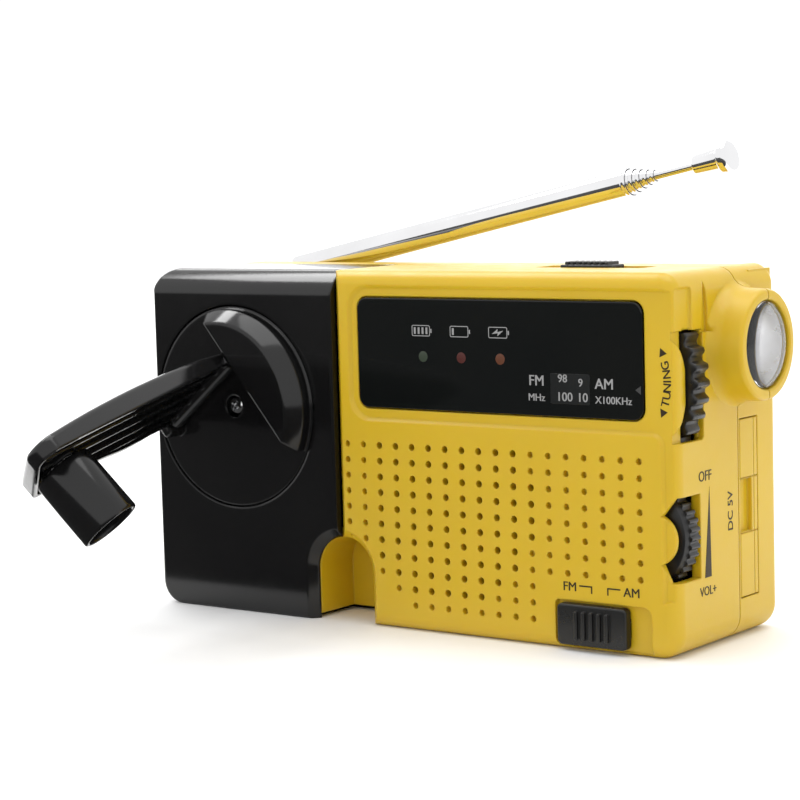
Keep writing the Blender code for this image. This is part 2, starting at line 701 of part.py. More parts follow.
def crank_screw():
    """The cross-head screw that holds the disc on its shaft."""
    place = along_y(CRANK_X, 0, CRANK_Z)
    profile = [(0, 1.0), (1.0, 1.05), (1.8, 1.5), (1.8, 2.0), (1.2, 2.0), (1.2, 7.5), (0, 7.5)]
    screw = piece("crank_screw", turned_mesh(profile, 14), steel(), place)
    cut(screw, box_mesh((-1.1, -0.25, 0.5), (1.1, 0.25, 1.6)), place)
    cut(screw, box_mesh((-0.25, -1.1, 0.5), (0.25, 1.1, 1.6)), place)
    return screw


# Gear train and dynamo.

CRANK_GEAR_Y = (9.0, 11.4)
IDLER_WHEEL_Y = (12.4, 14.2)
PLATE_Y = (15.6, 16.8)


def pitch_radius(teeth):
    return GEAR_MODULE * teeth / 2


def idler_axis():
    reach = pitch_radius(CRANK_TEETH) + pitch_radius(IDLER_PINION_TEETH)
    return (CRANK_X + reach * math.cos(IDLER_DIRECTION), CRANK_Z + reach * math.sin(IDLER_DIRECTION))


def rotor_axis():
    reach = pitch_radius(IDLER_WHEEL_TEETH) + pitch_radius(ROTOR_TEETH)
    x, z = idler_axis()
    return (x + reach * math.cos(ROTOR_DIRECTION), z + reach * math.sin(ROTOR_DIRECTION))


def facing_phase(direction, teeth):
    """The phase that puts a tooth gap opposite a tooth of the gear that lies in the other direction."""
    return direction + math.pi + math.pi / teeth


def gear(name, teeth, phase, y_range, x, z, bore):
    outline = [gear_outline(teeth, phase), arc(0, 0, bore, 0, 345, 11)]
    mesh = front_prism(outline, *y_range)
    return piece(name, mesh, white_nylon(), Matrix.Translation((x, 0, z)), (x, y_range[0], z))


def crank_gear():
    return gear("crank_gear", CRANK_TEETH, IDLER_DIRECTION, CRANK_GEAR_Y, CRANK_X, CRANK_Z, 2.5)


def crank_shaft():
    """Keyed to the gear and running in the floor of the disc's recess, it takes the disc's screw."""
    place = along_y(CRANK_X, 0, CRANK_Z)
    profile = [(0, 8.2), (1.5, 8.2), (1.5, 4.8), (2.2, 4.8), (2.2, 14.9), (1.4, 14.9), (1.4, 18.0),
               (0, 18.0)]
    return piece("crank_shaft", turned_mesh(profile, 12), steel(), place)


def idler_gear():
    """A compound gear: a pinion driven by the crank gear, with the wheel that drives the rotor behind."""
    x, z = idler_axis()
    bore = 1.3
    wheel = gear("idler_gear", IDLER_WHEEL_TEETH, ROTOR_DIRECTION, IDLER_WHEEL_Y, x, z, bore)
    teeth = gear_outline(IDLER_PINION_TEETH, facing_phase(IDLER_DIRECTION, IDLER_PINION_TEETH))
    hole = arc(0, 0, bore, 0, 345, 11)
    pinion = front_prism([teeth, hole], CRANK_GEAR_Y[0] - 0.4, IDLER_WHEEL_Y[0] + 0.3)
    join(wheel, pinion, Matrix.Translation((x, 0, z)))
    return wheel


def idler_axle():
    x, z = idler_axis()
    return piece("idler_axle", cylinder_mesh(1.0, 7.3, 16.9, 12), steel(), along_y(x, 0, z))


def rotor_pinion():
    x, z = rotor_axis()
    phase = facing_phase(ROTOR_DIRECTION, ROTOR_TEETH)
    y_range = (IDLER_WHEEL_Y[0] - 0.3, IDLER_WHEEL_Y[1] + 0.3)
    return gear("rotor_pinion", ROTOR_TEETH, phase, y_range, x, z, 1.05)


def rotor_shaft():
    x, z = rotor_axis()
    return piece("rotor_shaft", cylinder_mesh(0.75, 11.6, 20.5, 12), steel(), along_y(x, 0, z))


DYNAMO_RADIUS = 9.2


def dynamo():
    """The generator's can, with a nose boss that its shaft runs through."""
    x, z = rotor_axis()
    front = PLATE_Y[1] + GAP
    profile = [(0, 21.0), (1.1, 21.0), (1.1, front - 1.2), (3.0, front - 1.2), (3.0, front),
               (DYNAMO_RADIUS - 0.6, front), (DYNAMO_RADIUS, front + 0.6), (DYNAMO_RADIUS, front + 15.0),
               (0, front + 15.0)]
    return piece("dynamo", turned_mesh(profile, 20), steel(), along_y(x, 0, z))


def gear_plate():
    """The plate that carries the axles' rear ends and the dynamo, on three legs to the disc's recess."""
    outline = rounded_rectangle(8.0, 10.0, 40.0, 57.2, (3, 3, 3, 3), 2)
    plate = piece("gear_plate", front_prism([outline], *PLATE_Y), steel())
    cut(plate, cylinder_mesh(1.8, 10, 20, 12), along_y(CRANK_X, 0, CRANK_Z))
    for (x, z), radius in ((idler_axis(), 1.3), (rotor_axis(), 3.4)):
        cut(plate, cylinder_mesh(radius, 10, 20, 14), along_y(x, 0, z))
    for x, z in ((9.9, 55.3), (36.5, 54.5), (37.6, 13.0)):
        join(plate, cylinder_mesh(1.6, 7.3, PLATE_Y[0] + 0.5, 10), along_y(x, 0, z))
    return plate


# Controls.

def thumb_wheel(name, x, z, radius, ribs, y_range, bore):
    outline = [serrated_outline(radius, 0.7, ribs), arc(0, 0, bore, 0, 345, 11)]
    return piece(name, front_prism(outline, *y_range), black_plastic(), Matrix.Translation((x, 0, z)),
                 (x, y_range[0], z))


def tuning_wheel():
    return thumb_wheel("tuning_wheel", TUNING_X, TUNING_Z, TUNING_RADIUS, 36, (4.4, 9.2), 2.3)


def tuning_dial():
    """The disc that carries the printed scale behind the window, with the hub that grips the shaft."""
    profile = [(1.3, 2.9), (13.5, 2.9), (13.5, 4.1), (2.0, 4.1), (2.0, 9.4), (1.3, 9.4)]
    mesh = turned_mesh(profile, 24, True)
    return piece("tuning_dial", mesh, black_plastic(), along_y(TUNING_X, 0, TUNING_Z),
                 (TUNING_X, 2.9, TUNING_Z))


def tuning_capacitor():
    """The variable capacitor: a square block whose shaft carries the dial and the wheel."""
    body = box_mesh((TUNING_X - 8, 10.8, TUNING_Z - 8), (TUNING_X + 8, 16.6, TUNING_Z + 8), 0.5)
    return piece("tuning_capacitor", body, clear_plastic())


def tuning_shaft():
    mesh = cylinder_mesh(1.0, 3.2, 10.5, 12)
    return piece("tuning_shaft", mesh, steel(), along_y(TUNING_X, 0, TUNING_Z), (TUNING_X, 3.2, TUNING_Z))


def volume_wheel():
    return thumb_wheel("volume_wheel", VOLUME_X, VOLUME_Z, VOLUME_RADIUS, 24, (2.8, 7.4), 1.8)


def volume_shaft():
    mesh = cylinder_mesh(1.5, 2.9, 9.9, 12)
    return piece("volume_shaft", mesh, steel(), along_y(VOLUME_X, 0, VOLUME_Z), (VOLUME_X, 2.9, VOLUME_Z))


def volume_control():
    """The switched potentiometer behind the volume wheel."""
    profile = [(0, 10.2), (6.0, 10.2), (6.0, 16.6), (0, 16.6)]
    return piece("volume_control", turned_mesh(profile, 20), steel(), along_y(VOLUME_X, 0, VOLUME_Z))


def band_switch_knob():
    """A ribbed slide knob in the recess at the foot of the front, with a stem through the slot."""
    outline = rounded_rectangle(101.8, 1.2, 117.2, 9.1, (0.6, 0.6, 0.6, 0.6), 2)
    cap = front_prism([outline], -0.9, 0.9)
    knob = piece("band_switch_knob", cap, black_plastic(), None, (109.5, 0, 5.1))
    for rib in range(5):
        x = 106.3 + 1.7 * rib
        join(knob, box_mesh((x - 0.4, -1.6, 2.4), (x + 0.4, -0.5, 7.9)))
    join(knob, box_mesh((106.0, 0.5, 3.6), (112.0, 4.3, 6.6)))
    return knob


def band_switch():
    return piece("band_switch", box_mesh((103.2, 4.8, 2.4), (117.6, 16.6, 7.8)), steel())


def torch_switch_knob():
    """A ribbed slide knob on top, with a stem through the slot."""
    knob = piece("torch_switch_knob", box_mesh((92.6, 17.0, HEIGHT - 0.4), (104.4, 22.0, HEIGHT + 0.5)),
                 black_plastic(), None, (98.5, 19.5, HEIGHT))
    for rib in range(5):
        x = 95.1 + 1.7 * rib
        join(knob, box_mesh((x - 0.4, 17.3, HEIGHT + 0.3), (x + 0.4, 21.7, HEIGHT + 1.1)))
    join(knob, box_mesh((96.0, 18.2, HEIGHT - 4.0), (101.0, 20.8, HEIGHT - 0.2)))
    return knob


def torch_switch():
    return piece("torch_switch", box_mesh((91.0, 18.9, 61.0), (109.0, 22.6, 67.7), 0.3), steel())


# Torch.

def torch_lens():
    """A slightly domed clear lens, its rim just inside the mouth of the housing."""
    rim, rise = 134.1, 1.4
    dome = [(0, rim + rise)] + [(LENS_RADIUS * math.sin(a), rim + rise * math.cos(a))
                                for a in [math.radians(22.5 * i) for i in range(1, 5)]]
    back = [(0, rim - 0.1), (LENS_RADIUS - 1.4, rim - 1.5), (LENS_RADIUS, rim - 1.5)]
    profile = back + dome[:0:-1] + [dome[0]]
    return piece("torch_lens", turned_mesh(profile, 20), clear_plastic(), along_x(0, TORCH_Y, TORCH_Z))


def torch_reflector():
    """A parabolic bowl with a hole for the lamp."""
    steps = 3
    bowl = [(2.8 + 4.9 * i / steps, 124.8 + 7.2 * (i / steps) ** 2) for i in range(steps + 1)]
    back = [(radius + 0.45, height - 0.35) for radius, height in reversed(bowl)]
    mesh = turned_mesh(bowl + back, 20, True)
    return piece("torch_reflector", mesh, chrome(), along_x(0, TORCH_Y, TORCH_Z))


def torch_lamp():
    """A white light-emitting diode: a domed body on its flange."""
    radius = 2.4
    angles = [math.radians(22.5 * i) for i in range(1, 5)]
    dome = [(radius * math.sin(a), 126.8 + radius * math.cos(a)) for a in angles]
    profile = [(0, 123.7), (radius, 123.7)] + dome[::-1] + [(0, 126.8 + radius)]
    return piece("torch_lamp", turned_mesh(profile, 16), clear_plastic(), along_x(0, TORCH_Y, TORCH_Z))


def torch_board():
    mesh = box_mesh((122.2, 17.2, 50.5), (123.4, 30.0, 63.6))
    return piece("torch_board", mesh, circuit_board())


# Speaker.

def speaker():
    """Basket, cone and magnet, each turned about the speaker's axis."""
    place = along_y(SPEAKER_X, 0, SPEAKER_Z)
    rim = SPEAKER_RADIUS
    basket = [(rim - 2.2, 2.8), (rim, 2.8), (rim, 4.4), (10.5, 10.6), (10.5, 11.6), (4.2, 11.6),
              (4.2, 10.6), (9.5, 10.2), (rim - 2.2, 4.4)]
    piece("speaker_basket", turned_mesh(basket, 20, True), steel(), place)
    magnet = [(0, 12.0), (9.0, 12.0), (9.0, 15.6), (0, 15.6)]
    piece("speaker_magnet", turned_mesh(magnet, 20), steel(), place)
    cone = [(0, 8.1), (4.0, 8.9), (rim - 2.6, 3.1), (rim - 2.6, 3.6), (4.0, 9.4), (0, 8.6)]
    piece("speaker_cone", turned_mesh(cone, 20), material("paper_cone", (0.03, 0.03, 0.03), 0.8), place)


# Electronics.

def main_board():
    outline = rounded_rectangle(60.0, 4.0, 117.8, 66.0, (1, 1, 1, 1), 1)
    return piece("main_board", front_prism([outline], 17.0, 18.4), circuit_board())


def indicator_lights():
    """Three small round lamps behind the window: full, low and charging."""
    colours = {"full": (0.10, 0.13, 0.08), "low": (0.20, 0.03, 0.02), "charging": (0.35, 0.07, 0.03)}
    for (name, colour), x in zip(colours.items(), (71.0, 80.15, 89.3)):
        profile = [(0, 2.9), (1.0, 3.2), (1.45, 4.2), (1.45, 8.0), (0, 8.0)]
        lens = material("lamp_" + name, colour, 0.2)
        piece("indicator_" + name, turned_mesh(profile, 12), lens, along_y(x, 0, 55.2))


def indicator_board():
    mesh = box_mesh((66.0, 8.3, 50.0), (92.8, 9.5, 60.5))
    return piece("indicator_board", mesh, circuit_board())


def battery():
    """Three rechargeable cells side by side in one shrink sleeve."""
    outline = []
    for row in range(3):
        outline += arc(31.5, 9.8 + 10.4 * row, 5.2, -60 if row else -90, 60 if row < 2 else 90, 4)
    for row in reversed(range(3)):
        outline += arc(30.5, 9.8 + 10.4 * row, 5.2, 120 if row < 2 else 90, 240 if row else 270, 4)
    sleeve = material("sleeve", (0.05, 0.25, 0.10), 0.4)
    return piece("battery_pack", side_prism([outline], 61.5, 106.0), sleeve)


def ferrite_antenna():
    """The medium-wave rod with its winding."""
    place = along_x(0, 25.5, 55.5)
    ferrite = material("ferrite", (0.03, 0.03, 0.035), 0.6)
    piece("ferrite_rod", cylinder_mesh(3.6, 52.0, 108.0, 12), ferrite, place)
    winding = [(3.9, 54.0), (4.8, 54.0), (4.8, 74.0), (3.9, 74.0)]
    copper = material("copper_wire", (0.5, 0.2, 0.07), 0.35, 0.6)
    piece("ferrite_coil", turned_mesh(winding, 12, True), copper, place)


def power_socket():
    """A barrel socket with its centre contact."""
    body = box_mesh((112.0, 23.9, 21.5), (WIDTH - 4.5, 32.0, 30.5), 0.4)
    axis = along_x(0, SOCKET_Y, SOCKET_Z)
    socket = piece("power_socket", body, black_plastic())
    cut(socket, cylinder_mesh(2.9, 115.0, WIDTH, 14), axis)
    join(socket, cylinder_mesh(0.9, 114.0, WIDTH - 5.2, 8), axis)
    return socket


# Antenna.

def antenna_bracket():
    """A metal saddle on the floor of the groove, with a round post that the base turns on."""
    x, y, z = ANTENNA_PIVOT
    plate = box_mesh((3.2, 33.2, GROOVE_FLOOR + 0.1), (11.2, 39.0, GROOVE_FLOOR + 0.6))
    bracket = piece("antenna_bracket", plate, steel())
    post = cylinder_mesh(0.9, GROOVE_FLOOR + 0.3, GROOVE_FLOOR + 1.7, 10)
    join(bracket, post, Matrix.Translation((x, y, 0)))
    return bracket


def antenna_base():
    """The turning yoke: a foot on the post, and two cheeks that hold the tilt pin."""
    x, y, z = ANTENNA_PIVOT
    foot = GROOVE_FLOOR + 0.9
    base = piece("antenna_base", cylinder_mesh(3.1, foot, foot + 0.8, 16), chrome(),
                 Matrix.Translation((x, y, 0)), ANTENNA_PIVOT)
    for side in (-1, 1):
        middle = y + side * 2.45
        join(base, box_mesh((x - 1.9, middle - 0.5, foot + 0.5), (x + 1.9, middle + 0.5, z + 1.9)))
    cut(base, cylinder_mesh(1.2, foot - 1, foot + 2, 10), Matrix.Translation((x, y, 0)))
    cut(base, cylinder_mesh(0.95, -5, 5, 10), along_y(x, y, z))
    return base


def antenna_tilt_pin():
    x, y, z = ANTENNA_PIVOT
    return piece("antenna_tilt_pin", cylinder_mesh(0.65, -3.0, 3.0, 10), steel(), along_y(x, y, z))


def tube_profile(radius, start, end, crimp, next_radius):
    """A thin tube whose free end is drawn in to steady the tube inside it."""
    inner = radius - TUBE_WALL
    neck = next_radius + 0.12
    return [(inner, start), (radius, start), (radius, end - crimp), (neck + TUBE_WALL, end), (neck, end),
            (inner, end - crimp)]


def antenna_sections():
    """Six telescoping sections: five tubes and the rod that carries the tip."""
    frame = antenna_frame()
    for index, radius in enumerate(SECTION_RADII[:-1]):
        start = 6.0 + 1.5 * index
        end = ANTENNA_LENGTH + CRIMP_STEP * index
        profile = tube_profile(radius, start, end, 0.8, SECTION_RADII[index + 1])
        name = "antenna_section_%d" % (index + 1)
        section = piece(name, turned_mesh(profile, 12, True), chrome(), frame, ANTENNA_PIVOT)
        if index == 0:
            add_antenna_tongue(section, frame)
    rod_end = ANTENNA_LENGTH + CRIMP_STEP * 4 + ROD_SHOWING
    rod = cylinder_mesh(SECTION_RADII[-1], ROD_START, rod_end, 10)
    piece("antenna_rod", rod, chrome(), frame, ANTENNA_PIVOT)
    tip = [(0, rod_end + 0.3), (1.3, rod_end + 0.3), (1.3, rod_end - 0.6), (2.2, rod_end - 0.6),
           (2.35, rod_end + 5.2), (3.4, rod_end + 5.8), (3.4, rod_end + 7.0), (2.8, rod_end + 7.6),
           (0, rod_end + 7.6)]
    piece("antenna_tip", turned_mesh(tip, 14), chrome(), frame, ANTENNA_PIVOT)


def add_antenna_tongue(section, frame):
    """The flat tongue that closes the first tube's foot and turns on the tilt pin."""
    join(section, cylinder_mesh(SECTION_RADII[0], 4.6, 6.4, 12), frame)
    join(section, box_mesh((-1.3, -1.6, -1.2), (1.3, 1.6, 5.5)), frame)
    cut(section, cylinder_mesh(0.95, -4, 4, 10), frame @ Matrix.Rotation(-math.pi / 2, 4, "X"))


def clear_scene():
    for obj in list(bpy.data.objects):
        bpy.data.objects.remove(obj)


def main():
    clear_scene()
    bpy.context.scene.collection.children.link(PARTS)
    bpy.context.scene.collection.children.link(CUTTERS)
    CUTTERS.hide_render = True
    builders = (
        front_shell, crank_housing, rear_shell, case_screws, display_window, port_cover,
        crank_disc, crank_arm, crank_hinge_pin, crank_knob, knob_pin, crank_screw, crank_gear, crank_shaft,
        idler_gear, idler_axle, rotor_pinion, rotor_shaft, dynamo, gear_plate, tuning_wheel, tuning_dial,
        tuning_capacitor, tuning_shaft, volume_wheel, volume_shaft, volume_control, band_switch_knob,
        band_switch, torch_switch_knob, torch_switch, torch_lens, torch_reflector, torch_lamp, torch_board,
        speaker, main_board, indicator_lights, indicator_board, battery, ferrite_antenna, power_socket,
        antenna_bracket, antenna_base, antenna_tilt_pin, antenna_sections,
    )
    for build in builders:
        build()


main()
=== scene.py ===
"""The looks of a hand-cranked emergency radio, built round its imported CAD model.

Case coordinates are millimetres: x from the case's left side, y from its front face and z from its base.
Every mesh is turned into metres in the CAD's frame, whose origin is the centre of the base."""

import json
import math

import bmesh
import bpy
from mathutils import Matrix, Vector


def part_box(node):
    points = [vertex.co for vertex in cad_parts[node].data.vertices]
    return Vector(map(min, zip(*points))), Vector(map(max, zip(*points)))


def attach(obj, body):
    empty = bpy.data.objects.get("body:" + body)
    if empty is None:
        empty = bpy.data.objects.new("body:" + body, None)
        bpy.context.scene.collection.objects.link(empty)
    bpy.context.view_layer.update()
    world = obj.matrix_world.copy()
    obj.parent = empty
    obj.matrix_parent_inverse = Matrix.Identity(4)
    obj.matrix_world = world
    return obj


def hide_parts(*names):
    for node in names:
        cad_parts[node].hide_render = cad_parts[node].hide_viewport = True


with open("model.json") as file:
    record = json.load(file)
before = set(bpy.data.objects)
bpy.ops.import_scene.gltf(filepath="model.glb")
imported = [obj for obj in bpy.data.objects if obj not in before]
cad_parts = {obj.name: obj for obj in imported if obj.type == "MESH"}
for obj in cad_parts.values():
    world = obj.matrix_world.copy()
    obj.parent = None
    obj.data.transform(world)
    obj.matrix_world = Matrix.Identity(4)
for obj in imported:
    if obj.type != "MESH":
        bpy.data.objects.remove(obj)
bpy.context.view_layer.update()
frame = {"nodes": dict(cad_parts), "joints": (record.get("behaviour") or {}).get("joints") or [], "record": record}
MM = 0.001


# The frame in case millimetres.

WIDTH = -2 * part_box("rear_shell")[0].x / MM
DEPTH = 2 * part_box("rear_shell")[1].y / MM
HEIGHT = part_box("rear_shell")[1].z / MM


def case_point(point):
    """A point of the frame, in case millimetres."""
    return Vector((point[0] / MM + WIDTH / 2, point[1] / MM + DEPTH / 2, point[2] / MM))


def case_box(node):
    """The lowest and highest corner of a CAD node, in case millimetres."""
    low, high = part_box(node)
    return case_point(low), case_point(high)


def case_middle(node):
    low, high = case_box(node)
    return (low + high) / 2


def joint(name):
    """A hinge's position in case millimetres and its axis, or a slide's axis alone."""
    found = next(item for item in frame["joints"] if item["name"] == name)
    place = case_point(found["pos_m"]) if "pos_m" in found else None
    return place, Vector(found["axis"]).normalized()


# The black front half ends at the seam, and both front halves at the parting plane.
SEAM_X = case_box("crank_housing")[1].x
FRONT_X = SEAM_X + 0.3
PARTING_Y = (case_box("front_shell")[1].y + case_box("rear_shell")[0].y) / 2
HALF_GAP = (case_box("rear_shell")[0].y - case_box("front_shell")[1].y) / 2
WALL = 2.0
FRONT_WALL = 2.4
CHAMFER = 1.9

# What turns or slides, and the torch.
CRANK, _ = joint("crank_spin")
FOLD, FOLD_AXIS = joint("crank_fold")
KNOB, KNOB_AXIS = joint("knob_spin")
TUNING = case_middle("tuning_wheel")
TUNING_RADIUS = (case_box("tuning_wheel")[1].x - case_box("tuning_wheel")[0].x) / 2
VOLUME = case_middle("volume_wheel")
VOLUME_RADIUS = (case_box("volume_wheel")[1].x - case_box("volume_wheel")[0].x) / 2
TORCH = case_middle("torch_lens")
ANTENNA, _ = joint("antenna_swivel")
_, ANTENNA_AXIS = joint("antenna_slide_1")
DISC_RADIUS = 21.0
ARM_RIM = 0.8
TORCH_BORE = 8.5

# Openings: the antenna's groove, the port, the switches, the grille, the knob's pocket and the wheels.
GROOVE_FRONT, GROOVE_FLOOR, GROOVE_START, GROOVE_END = 31.9, 65.8, 2.5, 124.2
PORT_LOW, PORT_HIGH = 8.3, 42.7
BAND_SLOT = (105.6, 117.1)
TORCH_SLOT = (92.4, 107.4)
GRILLE_X, GRILLE_Z = 51.7, 37.05
GRILLE_PITCH_X, GRILLE_PITCH_Z = 4.02, 3.18
GRILLE_ROWS = [7, 8, 9, 10] + [11] * 8 + [8] * 6
OPEN_ROWS = {2: (0, 7), 3: (0, 8), 4: (0, 9), 5: (0, 9), 6: (0, 9), 7: (0, 9), 8: (0, 9), 9: (0, 8),
             10: (0, 7), 11: (2, 5)}
POCKET_LEFT, POCKET_RIGHT, POCKET_DEPTH, POCKET_SPRING = 42.0, 56.0, 13.0, 10.5
TUNING_SLOT = (40.5, 61.2)
VOLUME_SLOT = (14.5, 30.5)

UPRIGHT = Matrix.Rotation(math.pi / 2, 4, "X")


def along_x(x, y, z):
    """Local Z becomes +X."""
    return Matrix.Translation((x, y, z)) @ Matrix.Rotation(math.pi / 2, 4, "Y")


def along_y(x, y, z):
    """Local Z becomes +Y."""
    return Matrix.Translation((x, y, z)) @ Matrix.Rotation(-math.pi / 2, 4, "X")


def axes_frame(place, x_axis, z_axis):
    """Local X and Z lie along the given directions."""
    z_axis = z_axis.normalized()
    y_axis = z_axis.cross(x_axis).normalized()
    x_axis = y_axis.cross(z_axis)
    rotation = Matrix((x_axis, y_axis, z_axis)).transposed().to_4x4()
    return Matrix.Translation(place) @ rotation


def knob_frame():
    """Local Z runs along the knob, away from the arm, and local X out along the arm."""
    return axes_frame(KNOB, KNOB - FOLD, KNOB_AXIS)


def arm_frame():
    """Local X runs along the arm from its hinge, Y along the knob and Z across the arm."""
    across = -FOLD_AXIS
    along = KNOB_AXIS.cross(across).normalized()
    rotation = Matrix((along, KNOB_AXIS, across)).transposed().to_4x4()
    return Matrix.Translation(FOLD) @ rotation


def disc_frame():
    """Local X runs along the folded arm, Y into the case and Z across it, about the disc's centre."""
    across = -FOLD_AXIS
    along = Vector((0, 1, 0)).cross(across).normalized()
    rotation = Matrix((along, Vector((0, 1, 0)), across)).transposed().to_4x4()
    return Matrix.Translation((CRANK.x, 0, CRANK.z)) @ rotation


def antenna_frame():
    """Local Z runs out along the antenna from its pivot."""
    return axes_frame(ANTENNA, Vector((0, 1, 0)).cross(ANTENNA_AXIS), ANTENNA_AXIS)


TO_WORLD = Matrix.Scale(MM, 4) @ Matrix.Translation((-WIDTH / 2, -DEPTH / 2, 0))


# Meshes, in local millimetres.

def link(obj):
    bpy.context.scene.collection.objects.link(obj)


def mesh_from(bm, name):
    bmesh.ops.recalc_face_normals(bm, faces=bm.faces)
    mesh = bpy.data.meshes.new(name)
    bm.to_mesh(mesh)
    bm.free()
    return mesh


def box_mesh(low, high, bevel=0.0):
    bm = bmesh.new()
    bmesh.ops.create_cube(bm, size=1)
    size = Vector(high) - Vector(low)
    middle = (Vector(high) + Vector(low)) / 2
    place = Matrix.Translation(middle) @ Matrix.Diagonal((*size, 1))
    bmesh.ops.transform(bm, matrix=place, verts=bm.verts)
    if bevel:
        bmesh.ops.bevel(bm, geom=bm.edges[:], offset=bevel, segments=3, profile=0.5, affect="EDGES")
    return mesh_from(bm, "box")


def cylinder_mesh(radius, start, end, segments=64):
    bm = bmesh.new()
    bmesh.ops.create_cone(bm, cap_ends=True, segments=segments, radius1=radius, radius2=radius,
                          depth=end - start)
    bmesh.ops.translate(bm, vec=(0, 0, (start + end) / 2), verts=bm.verts)
    return mesh_from(bm, "cylinder")


def evaluated_mesh(obj):
    """The object's evaluated mesh with its seams welded. The object itself is removed."""
    link(obj)
    bpy.context.view_layer.update()
    graph = bpy.context.evaluated_depsgraph_get()
    mesh = bpy.data.meshes.new_from_object(obj.evaluated_get(graph))
    bpy.data.objects.remove(obj)
    bm = bmesh.new()
    bm.from_mesh(mesh)
    bmesh.ops.remove_doubles(bm, verts=bm.verts, dist=0.001)
    bpy.data.meshes.remove(mesh)
    return mesh_from(bm, "solid")


def turned_mesh(profile, segments=64, closed=False):
    """A profile of (radius, height) points turned about local Z."""
    bm = bmesh.new()
    points = [bm.verts.new((radius, 0, height)) for radius, height in profile]
    pairs = list(zip(points, points[1:]))
    if closed:
        pairs.append((points[-1], points[0]))
    for pair in pairs:
        bm.edges.new(pair)
    mesh = bpy.data.meshes.new("profile")
    bm.to_mesh(mesh)
    bm.free()
    obj = bpy.data.objects.new("profile", mesh)
    screw = obj.modifiers.new("turn", "SCREW")
    screw.axis = "Z"
    screw.steps = segments
    screw.render_steps = segments
    screw.use_merge_vertices = True
    screw.merge_threshold = 0.0001
    return evaluated_mesh(obj)


def prism_mesh(outlines, low, high):
    """Flat outlines extruded along local Z; an outline inside another is a hole."""
    curve = bpy.data.curves.new("outline", "CURVE")
    curve.dimensions = "2D"
    curve.fill_mode = "BOTH"
    curve.extrude = (high - low) / 2
    for outline in outlines:
        spline = curve.splines.new("POLY")
        spline.points.add(len(outline) - 1)
        for point, (x, y) in zip(spline.points, outline):
            point.co = (x, y, 0, 1)
        spline.use_cyclic_u = True
    mesh = evaluated_mesh(bpy.data.objects.new("outline", curve))
    mesh.transform(Matrix.Translation((0, 0, (low + high) / 2)))
    return mesh


def front_prism(outlines, y_low, y_high):
    """Outlines given as (x, z), extruded from y_low to y_high."""
    mesh = prism_mesh(outlines, -y_high, -y_low)
    mesh.transform(UPRIGHT)
    return mesh


def side_prism(outlines, x_low, x_high):
    """Outlines given as (y, z), extruded from x_low to x_high."""
    mesh = prism_mesh(outlines, x_low, x_high)
    mesh.transform(Matrix(((0, 0, 1, 0), (1, 0, 0, 0), (0, 1, 0, 0), (0, 0, 0, 1))))
    return mesh


def tapered_prism(outline, wide_outline, y_narrow, y_wide):
    """Joins two (x, z) outlines with the same number of points, one at each Y."""
    bm = bmesh.new()
    rings = [[bm.verts.new((x, y, z)) for x, z in points]
             for points, y in ((outline, y_narrow), (wide_outline, y_wide))]
    for ring in rings:
        bm.faces.new(ring)
    for i in range(len(outline)):
        j = (i + 1) % len(outline)
        bm.faces.new((rings[0][i], rings[0][j], rings[1][j], rings[1][i]))
    return mesh_from(bm, "tapered_prism")


def bevel_edges(mesh, width, segments, chosen):
    """Bevels the edges whose middles satisfy chosen(middle)."""
    bm = bmesh.new()
    bm.from_mesh(mesh)
    bmesh.ops.dissolve_limit(bm, angle_limit=math.radians(1), verts=bm.verts, edges=bm.edges)
    edges = [edge for edge in bm.edges if chosen((edge.verts[0].co + edge.verts[1].co) / 2)]
    bmesh.ops.bevel(bm, geom=edges, offset=width, segments=segments, profile=0.5, affect="EDGES")
    return mesh_from(bm, "bevelled")


def clipped(mesh, point, normal):
    """The part of a closed mesh behind a plane, closed again."""
    bm = bmesh.new()
    bm.from_mesh(mesh)
    geometry = bm.verts[:] + bm.edges[:] + bm.faces[:]
    cuts = bmesh.ops.bisect_plane(bm, geom=geometry, plane_co=point, plane_no=normal, clear_outer=True)
    edges = [item for item in cuts["geom_cut"] if isinstance(item, bmesh.types.BMEdge)]
    bmesh.ops.holes_fill(bm, edges=edges)
    return mesh_from(bm, "clipped")


def transformed(mesh, matrix):
    mesh.transform(matrix)
    return mesh


def rod_x(y, z, radius, start, end, segments):
    """A cylinder along X."""
    return transformed(cylinder_mesh(radius, start, end, segments), along_x(0, y, z))


def rod_y(x, z, radius, start, end, segments):
    """A cylinder along Y."""
    return transformed(cylinder_mesh(radius, start, end, segments), along_y(x, 0, z))


# Outlines.

def arc(cx, cy, radius, start, end, steps):
    """Points on an arc, angles in degrees."""
    angles = [math.radians(start + (end - start) * i / steps) for i in range(steps + 1)]
    return [(cx + radius * math.cos(a), cy + radius * math.sin(a)) for a in angles]


def rounded_rectangle(x0, y0, x1, y1, radii, steps=10):
    """Corner radii run from the low-left corner anticlockwise; a zero radius gives a sharp corner."""
    corners = ((x0, y0, 1, 1, 180), (x1, y0, -1, 1, 270), (x1, y1, -1, -1, 0), (x0, y1, 1, -1, 90))
    points = []
    for (x, y, sx, sy, start), radius in zip(corners, radii):
        if radius:
            points += arc(x + sx * radius, y + sy * radius, radius, start, start + 90, steps)
        else:
            points.append((x, y))
    return points


def arch(x_left, x_right, z_low, z_spring, steps=32):
    """A doorway outline: straight sides up to z_spring and a round head."""
    head = arc((x_left + x_right) / 2, z_spring, (x_right - x_left) / 2, 0, 180, steps)
    return [(x_left, z_low), (x_right, z_low)] + head


